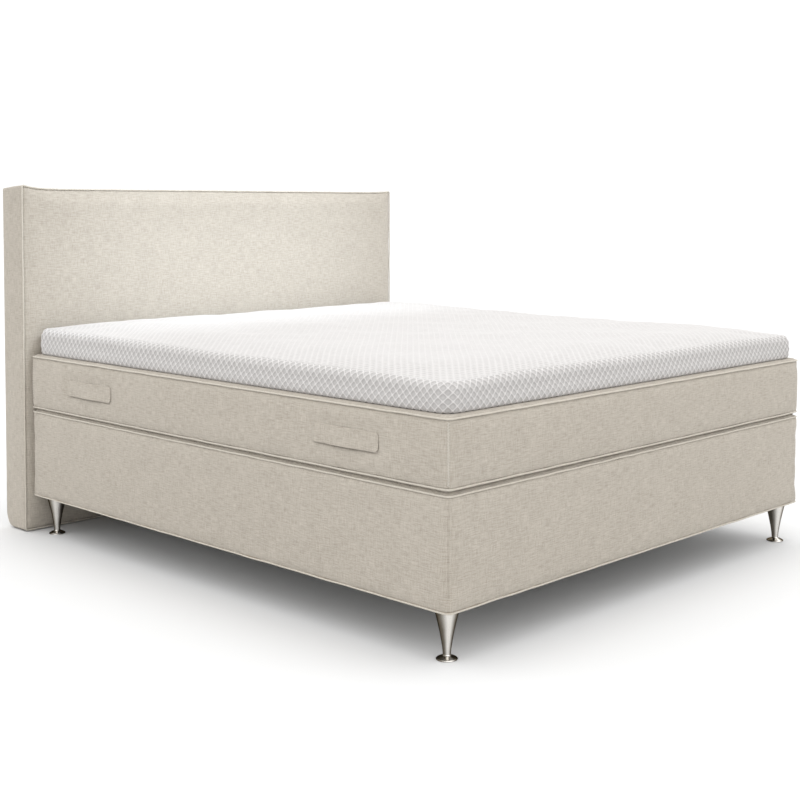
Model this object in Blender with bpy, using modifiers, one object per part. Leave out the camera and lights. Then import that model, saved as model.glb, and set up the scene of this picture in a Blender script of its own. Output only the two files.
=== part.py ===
"""Box spring bed: an upholstered base on turned metal legs, a mattress with strap handles,
a quilted topper, and a padded headboard that stands on the floor.

Metres, +Z up, +Y towards the headboard. The origin is on the floor, under the middle of the
whole bed.
"""

import math
from functools import partial

import bmesh
import bpy
from mathutils import Matrix, Vector

# Gap left between pieces that touch
CLEARANCE = 0.0003

# The bed seen from above, at the seams of the base and the mattress
BED_WIDTH = 1.800
BED_LENGTH = 2.000
CORNER_RADIUS = 0.020
CORNER_STEPS = 5

# Upholstery: border fabric with its wadding, panel fabric, and the piped seams
COVER_THICKNESS = 0.005
PANEL_THICKNESS = 0.003
PIPING_RADIUS = 0.0045
CROWN_REACH = 0.120
CROWN_STEPS = 5

# Base, from the leg up. A border's height is from one piping's centre to the other's
LEG_HEIGHT = 0.133
BASE_BORDER_HEIGHT = 0.297
SEAM_SPACE = 0.0173
DUST_COVER_THICKNESS = 0.001
RAIL_HEIGHT = 0.150
RAIL_THICKNESS = 0.025
CENTRE_RAIL_WIDTH = 0.045
BLOCK_WIDTH = 0.090
HEAD_BLOCK_LENGTH = 0.125
SLAT_THICKNESS = 0.018
SLAT_WIDTH = 0.100
SLAT_COUNT = 4
FELT_THICKNESS = 0.005
BASE_FOAM_THICKNESS = 0.030

# Legs: turned metal trumpets, each with a threaded stud
LEG_INSET = 0.053
LEG_HEAD_INSET = 0.070
LEG_TOP_RADIUS = 0.0335
LEG_NECK_RADIUS = 0.0105
FOOT_RADIUS = 0.0285
FOOT_RIM_HEIGHT = 0.003
FOOT_FLARE_HEIGHT = 0.011
FOOT_CHAMFER = 0.0015
STUD_RADIUS = 0.005
STUD_LENGTH = 0.030
HOLE_CLEARANCE = 0.0005
CENTRE_LEG_RADIUS = 0.018
CENTRE_LEG_FOOT_RADIUS = 0.025
CENTRE_LEG_FOOT_HEIGHT = 0.008
TURNING_STEPS = 24

# Mattress
MATTRESS_BORDER_HEIGHT = 0.181
MATTRESS_CROWN = 0.004
MATTRESS_BULGE = 0.003
BULGE_STEPS = 6
MATTRESS_FOAM_THICKNESS = 0.025
EDGE_FOAM_WIDTH = 0.060

# Strap handles, sewn down at both ends
HANDLE_LENGTH = 0.260
HANDLE_WIDTH = 0.053
HANDLE_THICKNESS = 0.003
HANDLE_ARCH = 0.003
HANDLE_SEWN_LENGTH = 0.035
HANDLE_FROM_END = 0.375
HANDLE_STEPS = 8

# Topper
TOPPER_HEIGHT = 0.098
TOPPER_INSET = 0.014
TOPPER_CORNER_RADIUS = 0.045
TOPPER_COVER_THICKNESS = 0.004
TOPPER_BASE_THICKNESS = 0.002
TOPPER_TOP_RADIUS = 0.034
TOPPER_BOTTOM_RADIUS = 0.012
TOPPER_CROWN = 0.014
TOPPER_CROWN_REACH = 0.180
EDGE_STEPS = 4

# Headboard
HEADBOARD_OVERHANG = 0.019
HEADBOARD_SEAM_TOP = 1.224
HEADBOARD_DEPTH = 0.1325
HEADBOARD_GAP = 0.019
HEADBOARD_CORNER_RADIUS = 0.012
HEADBOARD_CROWN = 0.013
HEADBOARD_FOAM_THICKNESS = 0.040
BOARD_THICKNESS = 0.012
LINING_THICKNESS = 0.001
EAR_RISE = 0.009
EAR_LENGTH = 0.090
EAR_STEPS = 4
HEEL_DEPTH = 0.036
HEEL_HEIGHT = 0.070
HEEL_STEPS = 5
GLIDE_RADIUS = 0.016
GLIDE_HEIGHT = 0.006
GLIDE_INSET = 0.070
STILE_WIDTH = 0.045
TOP_RAIL_HEIGHT = 0.060
MOUNT_RAIL_HEIGHT = 0.100
BOTTOM_RAIL_HEIGHT = 0.090

# Bolts that join the headboard to the base's head end
BOLT_SPACING = 0.900
BOLT_RADIUS = 0.004
BOLT_HEAD_RADIUS = 0.0075
BOLT_HEAD_HEIGHT = 0.0055
BOLT_GRIP = 0.040
SPACER_RADIUS = 0.025
ROUND_SIDES = 16

# The heel's curve stops short of upright, as a share of a quarter turn
HEEL_ARC_SHARE = 0.82
# How far a square frame corner stays off a rounded cover corner, as a share of its radius
SETBACK_SHARE = 1 / 3
# How fast a leg narrows below its top
TRUMPET_POWER = 1.35

# Heights of the seams, and of the faces that rest on each other
BASE_LOW_SEAM = LEG_HEIGHT + PIPING_RADIUS
BASE_TOP_SEAM = BASE_LOW_SEAM + BASE_BORDER_HEIGHT
MATTRESS_LOW_SEAM = BASE_TOP_SEAM + SEAM_SPACE
MATTRESS_TOP_SEAM = MATTRESS_LOW_SEAM + MATTRESS_BORDER_HEIGHT
BEARING_LEVEL = (BASE_TOP_SEAM + MATTRESS_LOW_SEAM) / 2
SEAM_CROWN = (SEAM_SPACE - PANEL_THICKNESS - CLEARANCE) / 2
TOPPER_LOW = MATTRESS_TOP_SEAM + PANEL_THICKNESS / 2 + MATTRESS_CROWN + CLEARANCE

# Insets from the outline, shared by everything inside a border
PIPING_INSET = COVER_THICKNESS - PIPING_RADIUS
INNER_INSET = COVER_THICKNESS + CLEARANCE

# Places along the bed, with the whole of it centred on the origin
TOTAL_LENGTH = PIPING_RADIUS - PIPING_INSET + BED_LENGTH + HEADBOARD_GAP + HEADBOARD_DEPTH
FOOT_Y = -TOTAL_LENGTH / 2 + PIPING_RADIUS - PIPING_INSET
HEAD_Y = FOOT_Y + BED_LENGTH
BED_CENTRE_Y = (FOOT_Y + HEAD_Y) / 2
HEADBOARD_SEAM_Y = HEAD_Y + HEADBOARD_GAP
HEADBOARD_BACK_Y = HEADBOARD_SEAM_Y + HEADBOARD_DEPTH
HEADBOARD_WIDTH = BED_WIDTH + HEADBOARD_OVERHANG * 2

# Layers of the headboard, front to back
FOAM_FRONT = HEADBOARD_SEAM_Y + PANEL_THICKNESS / 2 + CLEARANCE
BOARD_FRONT = HEADBOARD_SEAM_Y + HEADBOARD_FOAM_THICKNESS
FRAME_FRONT = BOARD_FRONT + BOARD_THICKNESS + CLEARANCE
LINING_FRONT = HEADBOARD_BACK_Y - LINING_THICKNESS
FRAME_BACK = LINING_FRONT - CLEARANCE
FRAME_INSET = INNER_INSET + HEADBOARD_CORNER_RADIUS * SETBACK_SHARE

# Base frame
RAIL_LOW = LEG_HEIGHT + DUST_COVER_THICKNESS + CLEARANCE
RAIL_TOP = RAIL_LOW + RAIL_HEIGHT
FRAME_HALF_WIDTH = BED_WIDTH / 2 - INNER_INSET
FRAME_HALF_LENGTH = BED_LENGTH / 2 - INNER_INSET
BOLT_LEVEL = RAIL_LOW + RAIL_HEIGHT / 2

# Colours as the render sees them, then roughness and metallic
FINISHES = {
    "fabric": ((0.560, 0.505, 0.420), 0.92, 0.0),
    "piping": ((0.660, 0.605, 0.515), 0.90, 0.0),
    "quilt": ((0.860, 0.850, 0.835), 0.88, 0.0),
    "foam": ((0.780, 0.740, 0.600), 0.95, 0.0),
    "timber": ((0.560, 0.380, 0.210), 0.65, 0.0),
    "felt": ((0.170, 0.165, 0.160), 0.95, 0.0),
    "springs": ((0.620, 0.630, 0.640), 0.70, 0.0),
    "nickel": ((0.610, 0.585, 0.540), 0.30, 1.0),
    "steel": ((0.480, 0.490, 0.500), 0.35, 1.0),
}


def clear_scene():
    for old in list(bpy.data.objects):
        bpy.data.objects.remove(old, do_unlink=True)


def new_collection(name):
    collection = bpy.data.collections.new(name)
    bpy.context.scene.collection.children.link(collection)
    return collection


def new_material(name, finish):
    colour, roughness, metallic = FINISHES[finish]
    material = bpy.data.materials.new(name)
    material.use_nodes = True
    shader = material.node_tree.nodes["Principled BSDF"]
    shader.inputs["Base Color"].default_value = (*colour, 1)
    shader.inputs["Roughness"].default_value = roughness
    shader.inputs["Metallic"].default_value = metallic
    material.diffuse_color = (*colour, 1)
    return material


def add(name, data, finish, assembly):
    """Put a mesh or a curve in the bed's collection, under its assembly's empty."""
    piece = bpy.data.objects.new(name, data)
    BED.objects.link(piece)
    data.materials.append(new_material(name, finish))
    piece.parent = assembly
    piece.matrix_parent_inverse = assembly.matrix_world.inverted()
    return piece


def add_assembly(name, place):
    empty = bpy.data.objects.new(name, None)
    empty.location = place
    BED.objects.link(empty)
    bpy.context.view_layer.update()
    return empty


def mesh_from(shape, name, smooth=False):
    bmesh.ops.recalc_face_normals(shape, faces=shape.faces)
    mesh = bpy.data.meshes.new(name)
    shape.to_mesh(mesh)
    shape.free()
    if smooth:
        mesh.shade_smooth()
        mesh.set_sharp_from_angle(angle=math.radians(35))
    return mesh


def add_box(name, finish, assembly, low, high):
    """A box between two corners, with its origin at its centre."""
    low, high = Vector(low), Vector(high)
    shape = bmesh.new()
    bmesh.ops.create_cube(shape, size=1)
    bmesh.ops.scale(shape, vec=high - low, verts=shape.verts)
    piece = add(name, mesh_from(shape, name), finish, assembly)
    piece.location = (low + high) / 2
    return piece


def cylinder_along(axis, radius, start, end, sides=ROUND_SIDES):
    """The mesh of a cylinder about a line through the origin."""
    shape = bmesh.new()
    bmesh.ops.create_cone(
        shape, cap_ends=True, segments=sides, radius1=radius, radius2=radius, depth=end - start
    )
    bmesh.ops.translate(shape, verts=shape.verts, vec=(0, 0, (start + end) / 2))
    if axis == "Y":
        turn = Matrix.Rotation(-math.pi / 2, 3, "X")
        bmesh.ops.rotate(shape, verts=shape.verts, matrix=turn)
    return shape


def add_cutter(name, shape, place):
    cutter = bpy.data.objects.new(name, mesh_from(shape, name))
    cutter.location = place
    cutter.hide_render = True
    cutter.display_type = "WIRE"
    CUTTERS.objects.link(cutter)
    return cutter


def cut(piece, *cutters):
    for cutter in cutters:
        modifier = piece.modifiers.new("Cut " + cutter.name, "BOOLEAN")
        modifier.operation = "DIFFERENCE"
        modifier.object = cutter


def loft(name, finish, assembly, rings, closed=False):
    """A skin over rings of points. A closed loft joins its last ring to its first."""
    shape = bmesh.new()
    corners = [[shape.verts.new(point) for point in ring] for ring in rings]
    pairs = list(zip(corners, corners[1:]))
    if closed:
        pairs.append((corners[-1], corners[0]))
    else:
        shape.faces.new(corners[0])
        shape.faces.new(corners[-1])
    count = len(corners[0])
    for ring, after in pairs:
        for i in range(count):
            j = (i + 1) % count
            shape.faces.new((ring[i], ring[j], after[j], after[i]))
    return add(name, mesh_from(shape, name, smooth=True), finish, assembly)


def arc(centre, radius, start, end, steps):
    """Points of a circular arc, angles in quarter turns."""
    angles = [math.pi / 2 * (start + (end - start) * i / steps) for i in range(steps + 1)]
    return [(centre[0] + radius * math.cos(a), centre[1] + radius * math.sin(a)) for a in angles]


def rounded_rectangle(half_width, half_length, radius):
    x, y = half_width - radius, half_length - radius
    points = arc((x, y), radius, 0, 1, CORNER_STEPS)
    points += arc((-x, y), radius, 1, 2, CORNER_STEPS)
    points += arc((-x, -y), radius, 2, 3, CORNER_STEPS)
    points += arc((x, -y), radius, 3, 4, CORNER_STEPS)
    return points


def bed_ring(inset, level):
    """The bed's outline, this far inside its edge. Deep rings keep a share of the corner."""
    radius = max(CORNER_RADIUS - inset, CORNER_RADIUS / 2)
    outline = rounded_rectangle(BED_WIDTH / 2 - inset, BED_LENGTH / 2 - inset, radius)
    return [(x, y + BED_CENTRE_Y, level) for x, y in outline]


def topper_ring(inset, level):
    radius = max(TOPPER_CORNER_RADIUS - inset, TOPPER_CORNER_RADIUS / 3)
    half_width = BED_WIDTH / 2 - TOPPER_INSET - inset
    half_length = BED_LENGTH / 2 - TOPPER_INSET - inset
    outline = rounded_rectangle(half_width, half_length, radius)
    return [(x, y + BED_CENTRE_Y, level) for x, y in outline]


def headboard_ring(inset, level, lift=0.0):
    """The headboard's outline seen from the front. Its top rises to an ear at each corner,
    and lift raises its lower edge."""
    radius = max(HEADBOARD_CORNER_RADIUS - inset, HEADBOARD_CORNER_RADIUS / 3)
    side = HEADBOARD_WIDTH / 2 - inset - radius
    low = GLIDE_HEIGHT + inset + lift + radius
    top = HEADBOARD_SEAM_TOP - inset
    outline = arc((-side, low), radius, 2, 3, CORNER_STEPS)
    outline += arc((side, low), radius, 3, 4, CORNER_STEPS)
    outline += arc((side, top + EAR_RISE - radius), radius, 0, 1, CORNER_STEPS)
    slope = []
    for step in range(1, EAR_STEPS + 1):
        share = step / EAR_STEPS
        slope.append((side - EAR_LENGTH * share, top + EAR_RISE * (1 - share) ** 2))
    outline += slope
    outline += [(-x, z) for x, z in reversed(slope)]
    outline += arc((-side, top + EAR_RISE - radius), radius, 1, 2, CORNER_STEPS)
    return [(x, level, z) for x, z in outline]


def crown_shares(rise):
    return [step / CROWN_STEPS for step in range(CROWN_STEPS + 1)] if rise else [0]


def add_block(name, finish, assembly, ring, inset, low, high, low_rise=0.0, high_rise=0.0):
    """A layer between two faces. A face with a rise swells by it away from its edge."""
    rings = []
    for share in reversed(crown_shares(low_rise)):
        swell = low_rise * (1 - (1 - share) ** 2)
        rings.append(ring(inset + CROWN_REACH * share, low + swell))
    for share in crown_shares(high_rise):
        swell = high_rise * (1 - (1 - share) ** 2)
        rings.append(ring(inset + CROWN_REACH * share, high + swell))
    return loft(name, finish, assembly, rings)


def add_border(name, assembly, low_seam, top_seam, bulge):
    """The fabric band between two piped seams."""
    low = low_seam + PIPING_RADIUS + CLEARANCE
    high = top_seam - PIPING_RADIUS - CLEARANCE
    steps = BULGE_STEPS if bulge else 1
    rings = []
    for step in range(steps + 1):
        share = step / steps
        rings.append(bed_ring(-bulge * math.sin(math.pi * share), low + (high - low) * share))
    rings.append(bed_ring(COVER_THICKNESS, high))
    rings.append(bed_ring(COVER_THICKNESS, low))
    return loft(name, "fabric", assembly, rings, closed=True)


def add_piping(name, assembly, path):
    """A cord sewn into a seam, all the way round."""
    curve = bpy.data.curves.new(name, "CURVE")
    curve.dimensions = "3D"
    curve.bevel_depth = PIPING_RADIUS
    curve.bevel_resolution = 2
    curve.use_fill_caps = True
    spline = curve.splines.new("POLY")
    spline.points.add(len(path) - 1)
    for point, place in zip(spline.points, path):
        point.co = (*place, 1)
    spline.use_cyclic_u = True
    spline.use_smooth = True
    return add(name, curve, "piping", assembly)


def add_turned(name, finish, assembly, profile, place):
    """A solid turned about Z from a profile of radius and height, top to bottom."""
    shape = bmesh.new()
    corners = [shape.verts.new((radius, 0, height)) for radius, height in profile]
    for upper, lower in zip(corners, corners[1:]):
        shape.edges.new((upper, lower))
    mesh = bpy.data.meshes.new(name)
    shape.to_mesh(mesh)
    shape.free()
    piece = add(name, mesh, finish, assembly)
    piece.location = place
    screw = piece.modifiers.new("Turn", "SCREW")
    screw.steps = TURNING_STEPS
    screw.render_steps = TURNING_STEPS
    screw.use_merge_vertices = True
    screw.merge_threshold = 0.0001
    screw.use_smooth_shade = True
    return piece


def leg_profile():
    """Stud, trumpet and flared foot, with heights above the floor."""
    top = LEG_HEIGHT - CLEARANCE
    neck = FOOT_RIM_HEIGHT + FOOT_FLARE_HEIGHT
    profile = [(0, top + STUD_LENGTH), (STUD_RADIUS, top + STUD_LENGTH), (STUD_RADIUS, top)]
    steps = EDGE_STEPS * 2
    for step in range(steps + 1):
        share = step / steps
        radius = LEG_NECK_RADIUS + (LEG_TOP_RADIUS - LEG_NECK_RADIUS) * (1 - share) ** TRUMPET_POWER
        profile.append((radius, top + (neck - top) * share))
    for step in range(1, EDGE_STEPS + 1):
        angle = math.pi / 2 * step / EDGE_STEPS
        radius = LEG_NECK_RADIUS + (FOOT_RADIUS - LEG_NECK_RADIUS) * (1 - math.cos(angle))
        profile.append((radius, FOOT_RIM_HEIGHT + FOOT_FLARE_HEIGHT * (1 - math.sin(angle))))
    profile += [(FOOT_RADIUS, FOOT_CHAMFER), (FOOT_RADIUS - FOOT_CHAMFER, 0), (0, 0)]
    return profile


def centre_leg_profile():
    top = LEG_HEIGHT - CLEARANCE
    return [
        (0, top + STUD_LENGTH),
        (STUD_RADIUS, top + STUD_LENGTH),
        (STUD_RADIUS, top),
        (CENTRE_LEG_FOOT_RADIUS, top),
        (CENTRE_LEG_FOOT_RADIUS, top - CENTRE_LEG_FOOT_HEIGHT),
        (CENTRE_LEG_RADIUS, top - CENTRE_LEG_FOOT_HEIGHT),
        (CENTRE_LEG_RADIUS, CENTRE_LEG_FOOT_HEIGHT),
        (CENTRE_LEG_FOOT_RADIUS, CENTRE_LEG_FOOT_HEIGHT),
        (CENTRE_LEG_FOOT_RADIUS, 0),
        (0, 0),
    ]


def build_legs(assembly):
    """The legs, and the stud holes that they need, by name."""
    side = BED_WIDTH / 2 - LEG_INSET
    foot, head = FOOT_Y + LEG_INSET, HEAD_Y - LEG_HEAD_INSET
    places = {
        "foot_left": (-side, foot),
        "foot_right": (side, foot),
        "head_left": (-side, head),
        "head_right": (side, head),
        "centre": (0, BED_CENTRE_Y),
    }
    holes = {}
    for name, (x, y) in places.items():
        if name == "centre":
            add_turned("leg_" + name, "steel", assembly, centre_leg_profile(), (x, y, 0))
        else:
            add_turned("leg_" + name, "nickel", assembly, leg_profile(), (x, y, 0))
        depth = STUD_LENGTH + HOLE_CLEARANCE
        shape = cylinder_along("Z", STUD_RADIUS + HOLE_CLEARANCE, -STUD_LENGTH, depth)
        holes[name] = add_cutter("stud_hole_" + name, shape, (x, y, LEG_HEIGHT))
    return holes


def add_corner_block(name, assembly, side, end, length):
    """A block in a corner of the frame, rounded like the cover outside it."""
    radius = CORNER_RADIUS - INNER_INSET
    outer_x, outer_y = side * FRAME_HALF_WIDTH, end * FRAME_HALF_LENGTH
    middle_x = outer_x - side * BLOCK_WIDTH / 2
    middle_y = outer_y - end * length / 2
    shape = bmesh.new()
    bmesh.ops.create_cube(shape, size=1)
    bmesh.ops.scale(shape, vec=(BLOCK_WIDTH, length, RAIL_HEIGHT), verts=shape.verts)
    upright = [
        edge
        for edge in shape.edges
        if all(vert.co.x * side > 0 and vert.co.y * end > 0 for vert in edge.verts)
    ]
    bmesh.ops.bevel(
        shape, geom=upright, offset=radius, segments=CORNER_STEPS, profile=0.5, affect="EDGES"
    )
    block = add(name, mesh_from(shape, name), "timber", assembly)
    block.location = (middle_x, BED_CENTRE_Y + middle_y, RAIL_LOW + RAIL_HEIGHT / 2)
    return block


def build_base_frame(assembly, holes, bolt_holes):
    """Rails between corner blocks, a centre rail and the slats across them."""
    for side, side_name in ((-1, "left"), (1, "right")):
        for end, end_name, length in ((-1, "foot", BLOCK_WIDTH), (1, "head", HEAD_BLOCK_LENGTH)):
            corner = end_name + "_" + side_name
            block = add_corner_block("base_block_" + corner, assembly, side, end, length)
            cut(block, holes[corner])
        outer = side * FRAME_HALF_WIDTH
        inner = outer - side * RAIL_THICKNESS
        start = BED_CENTRE_Y - FRAME_HALF_LENGTH + BLOCK_WIDTH + CLEARANCE
        stop = BED_CENTRE_Y + FRAME_HALF_LENGTH - HEAD_BLOCK_LENGTH - CLEARANCE
        low = (min(outer, inner), start, RAIL_LOW)
        high = (max(outer, inner), stop, RAIL_TOP)
        add_box("base_side_rail_" + side_name, "timber", assembly, low, high)
    across = FRAME_HALF_WIDTH - BLOCK_WIDTH - CLEARANCE
    for end, end_name in ((-1, "foot"), (1, "head")):
        outer = BED_CENTRE_Y + end * FRAME_HALF_LENGTH
        inner = outer - end * RAIL_THICKNESS
        low = (-across, min(outer, inner), RAIL_LOW)
        high = (across, max(outer, inner), RAIL_TOP)
        rail = add_box("base_end_rail_" + end_name, "timber", assembly, low, high)
        if end_name == "head":
            cut(rail, *bolt_holes)
    along = FRAME_HALF_LENGTH - RAIL_THICKNESS - CLEARANCE
    low = (-CENTRE_RAIL_WIDTH / 2, BED_CENTRE_Y - along, RAIL_LOW)
    high = (CENTRE_RAIL_WIDTH / 2, BED_CENTRE_Y + along, RAIL_TOP)
    cut(add_box("base_centre_rail", "timber", assembly, low, high), holes["centre"])
    slat_low = RAIL_TOP + CLEARANCE
    for number in range(SLAT_COUNT):
        middle = FOOT_Y + BED_LENGTH * (number + 0.5) / SLAT_COUNT
        low = (-FRAME_HALF_WIDTH, middle - SLAT_WIDTH / 2, slat_low)
        high = (FRAME_HALF_WIDTH, middle + SLAT_WIDTH / 2, slat_low + SLAT_THICKNESS)
        add_box(f"base_slat_{number + 1}", "timber", assembly, low, high)


def build_base(assembly, bolt_holes):
    holes = build_legs(assembly)
    build_base_frame(assembly, holes, bolt_holes)
    layer = partial(add_block, assembly=assembly, ring=bed_ring, inset=INNER_INSET)

    panel_low = BASE_TOP_SEAM - PANEL_THICKNESS / 2
    foam_high = panel_low - CLEARANCE
    foam_low = foam_high - BASE_FOAM_THICKNESS
    felt_high = foam_low - CLEARANCE
    felt_low = felt_high - FELT_THICKNESS
    springs_low = RAIL_TOP + SLAT_THICKNESS + CLEARANCE * 2
    layer("base_spring_unit", "springs", low=springs_low, high=felt_low - CLEARANCE)
    layer("base_felt_pad", "felt", low=felt_low, high=felt_high)
    layer("base_top_foam", "foam", low=foam_low, high=foam_high, high_rise=SEAM_CROWN)
    layer(
        "base_top_panel",
        "fabric",
        low=panel_low,
        high=panel_low + PANEL_THICKNESS,
        low_rise=SEAM_CROWN,
        high_rise=SEAM_CROWN,
    )
    dust_cover = layer(
        "base_dust_cover", "felt", low=LEG_HEIGHT, high=LEG_HEIGHT + DUST_COVER_THICKNESS
    )
    cut(dust_cover, *holes.values())
    border = add_border("base_border", assembly, BASE_LOW_SEAM, BASE_TOP_SEAM, 0)
    cut(border, *bolt_holes)
    add_piping("base_piping_bottom", assembly, bed_ring(PIPING_INSET, BASE_LOW_SEAM))
    add_piping("base_piping_top", assembly, bed_ring(PIPING_INSET, BASE_TOP_SEAM))


def add_handle(name, assembly, side, middle):
    """A flat strap on the border, sewn down at its ends and a little slack between them."""
    level = (MATTRESS_LOW_SEAM + MATTRESS_TOP_SEAM) / 2
    seat = BED_WIDTH / 2 + MATTRESS_BULGE + CLEARANCE
    free = HANDLE_LENGTH - HANDLE_SEWN_LENGTH * 2
    stations = [(-HANDLE_LENGTH / 2, 0)]
    for step in range(HANDLE_STEPS + 1):
        share = step / HANDLE_STEPS
        lift = HANDLE_ARCH * math.sin(math.pi * share) ** 2
        stations.append((-free / 2 + free * share, lift))
    stations.append((HANDLE_LENGTH / 2, 0))
    rings = []
    for along, lift in stations:
        near, far = seat + lift, seat + lift + HANDLE_THICKNESS
        low, high = level - HANDLE_WIDTH / 2, level + HANDLE_WIDTH / 2
        section = ((near, low), (far, low), (far, high), (near, high))
        rings.append([(side * x, middle + along, z) for x, z in section])
    return loft(name, "fabric", assembly, rings)


def build_mattress(assembly):
    layer = partial(add_block, assembly=assembly, ring=bed_ring, inset=INNER_INSET)
    low_panel = MATTRESS_LOW_SEAM - PANEL_THICKNESS / 2
    top_panel = MATTRESS_TOP_SEAM - PANEL_THICKNESS / 2
    foam_low = low_panel + PANEL_THICKNESS + CLEARANCE
    foam_high = top_panel - CLEARANCE
    core_low = foam_low + MATTRESS_FOAM_THICKNESS
    core_high = foam_high - MATTRESS_FOAM_THICKNESS
    layer(
        "mattress_bottom_panel",
        "fabric",
        low=low_panel,
        high=low_panel + PANEL_THICKNESS,
        low_rise=-SEAM_CROWN,
        high_rise=-SEAM_CROWN,
    )
    layer(
        "mattress_bottom_foam",
        "foam",
        low=foam_low,
        high=core_low - CLEARANCE,
        low_rise=-SEAM_CROWN,
    )
    core_inset = INNER_INSET + EDGE_FOAM_WIDTH + CLEARANCE
    layer("mattress_spring_core", "springs", inset=core_inset, low=core_low, high=core_high)
    edge = [bed_ring(INNER_INSET, core_low), bed_ring(INNER_INSET, core_high)]
    edge += [bed_ring(core_inset - CLEARANCE, core_high), bed_ring(core_inset - CLEARANCE, core_low)]
    loft("mattress_edge_foam", "foam", assembly, edge, closed=True)
    layer(
        "mattress_top_foam",
        "foam",
        low=core_high + CLEARANCE,
        high=foam_high,
        high_rise=MATTRESS_CROWN,
    )
    layer(
        "mattress_top_panel",
        "fabric",
        low=top_panel,
        high=top_panel + PANEL_THICKNESS,
        low_rise=MATTRESS_CROWN,
        high_rise=MATTRESS_CROWN,
    )
    add_border("mattress_border", assembly, MATTRESS_LOW_SEAM, MATTRESS_TOP_SEAM, MATTRESS_BULGE)
    add_piping("mattress_piping_bottom", assembly, bed_ring(PIPING_INSET, MATTRESS_LOW_SEAM))
    add_piping("mattress_piping_top", assembly, bed_ring(PIPING_INSET, MATTRESS_TOP_SEAM))
    for side, side_name in ((-1, "left"), (1, "right")):
        for end_name, middle in (
            ("foot", FOOT_Y + HANDLE_FROM_END),
            ("head", HEAD_Y - HANDLE_FROM_END),
        ):
            add_handle(f"mattress_handle_{side_name}_{end_name}", assembly, side, middle)


def topper_shell(wall, floor):
    """The topper's outside, bottom to top, moved this far in from its sides and top, with
    its lower edge raised by floor."""
    low = TOPPER_LOW + floor
    high = TOPPER_LOW + TOPPER_HEIGHT - TOPPER_CROWN - wall
    rings = []
    for step in range(EDGE_STEPS + 1):
        angle = math.pi / 2 * step / EDGE_STEPS
        tuck = TOPPER_BOTTOM_RADIUS * (1 - math.sin(angle)) / 2
        rings.append(topper_ring(wall + tuck, low + TOPPER_BOTTOM_RADIUS * (1 - math.cos(angle))))
    radius = TOPPER_TOP_RADIUS
    for step in range(EDGE_STEPS + 1):
        angle = math.pi / 2 * step / EDGE_STEPS
        inset = wall + radius * (1 - math.cos(angle))
        rings.append(topper_ring(inset, high - radius * (1 - math.sin(angle))))
    for step in range(1, CROWN_STEPS + 1):
        share = step / CROWN_STEPS
        swell = TOPPER_CROWN * (1 - (1 - share) ** 2)
        rings.append(topper_ring(wall + radius + TOPPER_CROWN_REACH * share, high + swell))
    return rings


def build_topper(assembly):
    outside = topper_shell(0, 0)
    inside = topper_shell(TOPPER_COVER_THICKNESS, 0)
    loft("topper_cover", "quilt", assembly, list(reversed(inside)) + outside)
    wall = TOPPER_COVER_THICKNESS + CLEARANCE
    loft("topper_core", "foam", assembly, topper_shell(wall, TOPPER_BASE_THICKNESS + CLEARANCE))
    tuck = TOPPER_BOTTOM_RADIUS / 2
    base = [
        topper_ring(wall + tuck, TOPPER_LOW),
        topper_ring(wall + tuck, TOPPER_LOW + TOPPER_BASE_THICKNESS),
    ]
    loft("topper_base_panel", "quilt", assembly, base)


def heel_stations():
    """Where the headboard's lower back edge curves up: place along Y, and lift."""
    last = math.pi / 2 * HEEL_ARC_SHARE
    stations = []
    for step in range(HEEL_STEPS + 1):
        angle = last * step / HEEL_STEPS
        place = HEADBOARD_BACK_Y - HEEL_DEPTH * (math.sin(last) - math.sin(angle))
        stations.append((place, HEEL_HEIGHT * (1 - math.cos(angle))))
    return stations


def add_heel_member(name, assembly, left, right, top):
    """A frame member that stands at the headboard's foot and follows its curved heel."""
    low = GLIDE_HEIGHT + FRAME_INSET
    stations = heel_stations()
    side_view = [(FRAME_FRONT, low)]
    side_view += [(y, low + lift) for y, lift in stations[:-1]]
    side_view.append((FRAME_BACK, low + stations[-1][1]))
    side_view += [(FRAME_BACK, top), (FRAME_FRONT, top)]
    rings = [[(x, y, z) for y, z in side_view] for x in (left, right)]
    return loft(name, "timber", assembly, rings)


def build_headboard_frame(assembly, bolt_holes):
    """Two stiles and three rails behind the board."""
    outer = HEADBOARD_WIDTH / 2 - FRAME_INSET
    inner = outer - STILE_WIDTH
    top = HEADBOARD_SEAM_TOP - FRAME_INSET
    add_heel_member("headboard_stile_left", assembly, -outer, -inner, top)
    add_heel_member("headboard_stile_right", assembly, inner, outer, top)
    across = inner - CLEARANCE
    bottom_top = GLIDE_HEIGHT + FRAME_INSET + BOTTOM_RAIL_HEIGHT
    add_heel_member("headboard_bottom_rail", assembly, -across, across, bottom_top)
    low = (-across, FRAME_FRONT, top - TOP_RAIL_HEIGHT)
    add_box("headboard_top_rail", "timber", assembly, low, (across, FRAME_BACK, top))
    low = (-across, FRAME_FRONT, BOLT_LEVEL - MOUNT_RAIL_HEIGHT / 2)
    high = (across, FRAME_BACK, BOLT_LEVEL + MOUNT_RAIL_HEIGHT / 2)
    cut(add_box("headboard_mount_rail", "timber", assembly, low, high), *bolt_holes)


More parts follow.
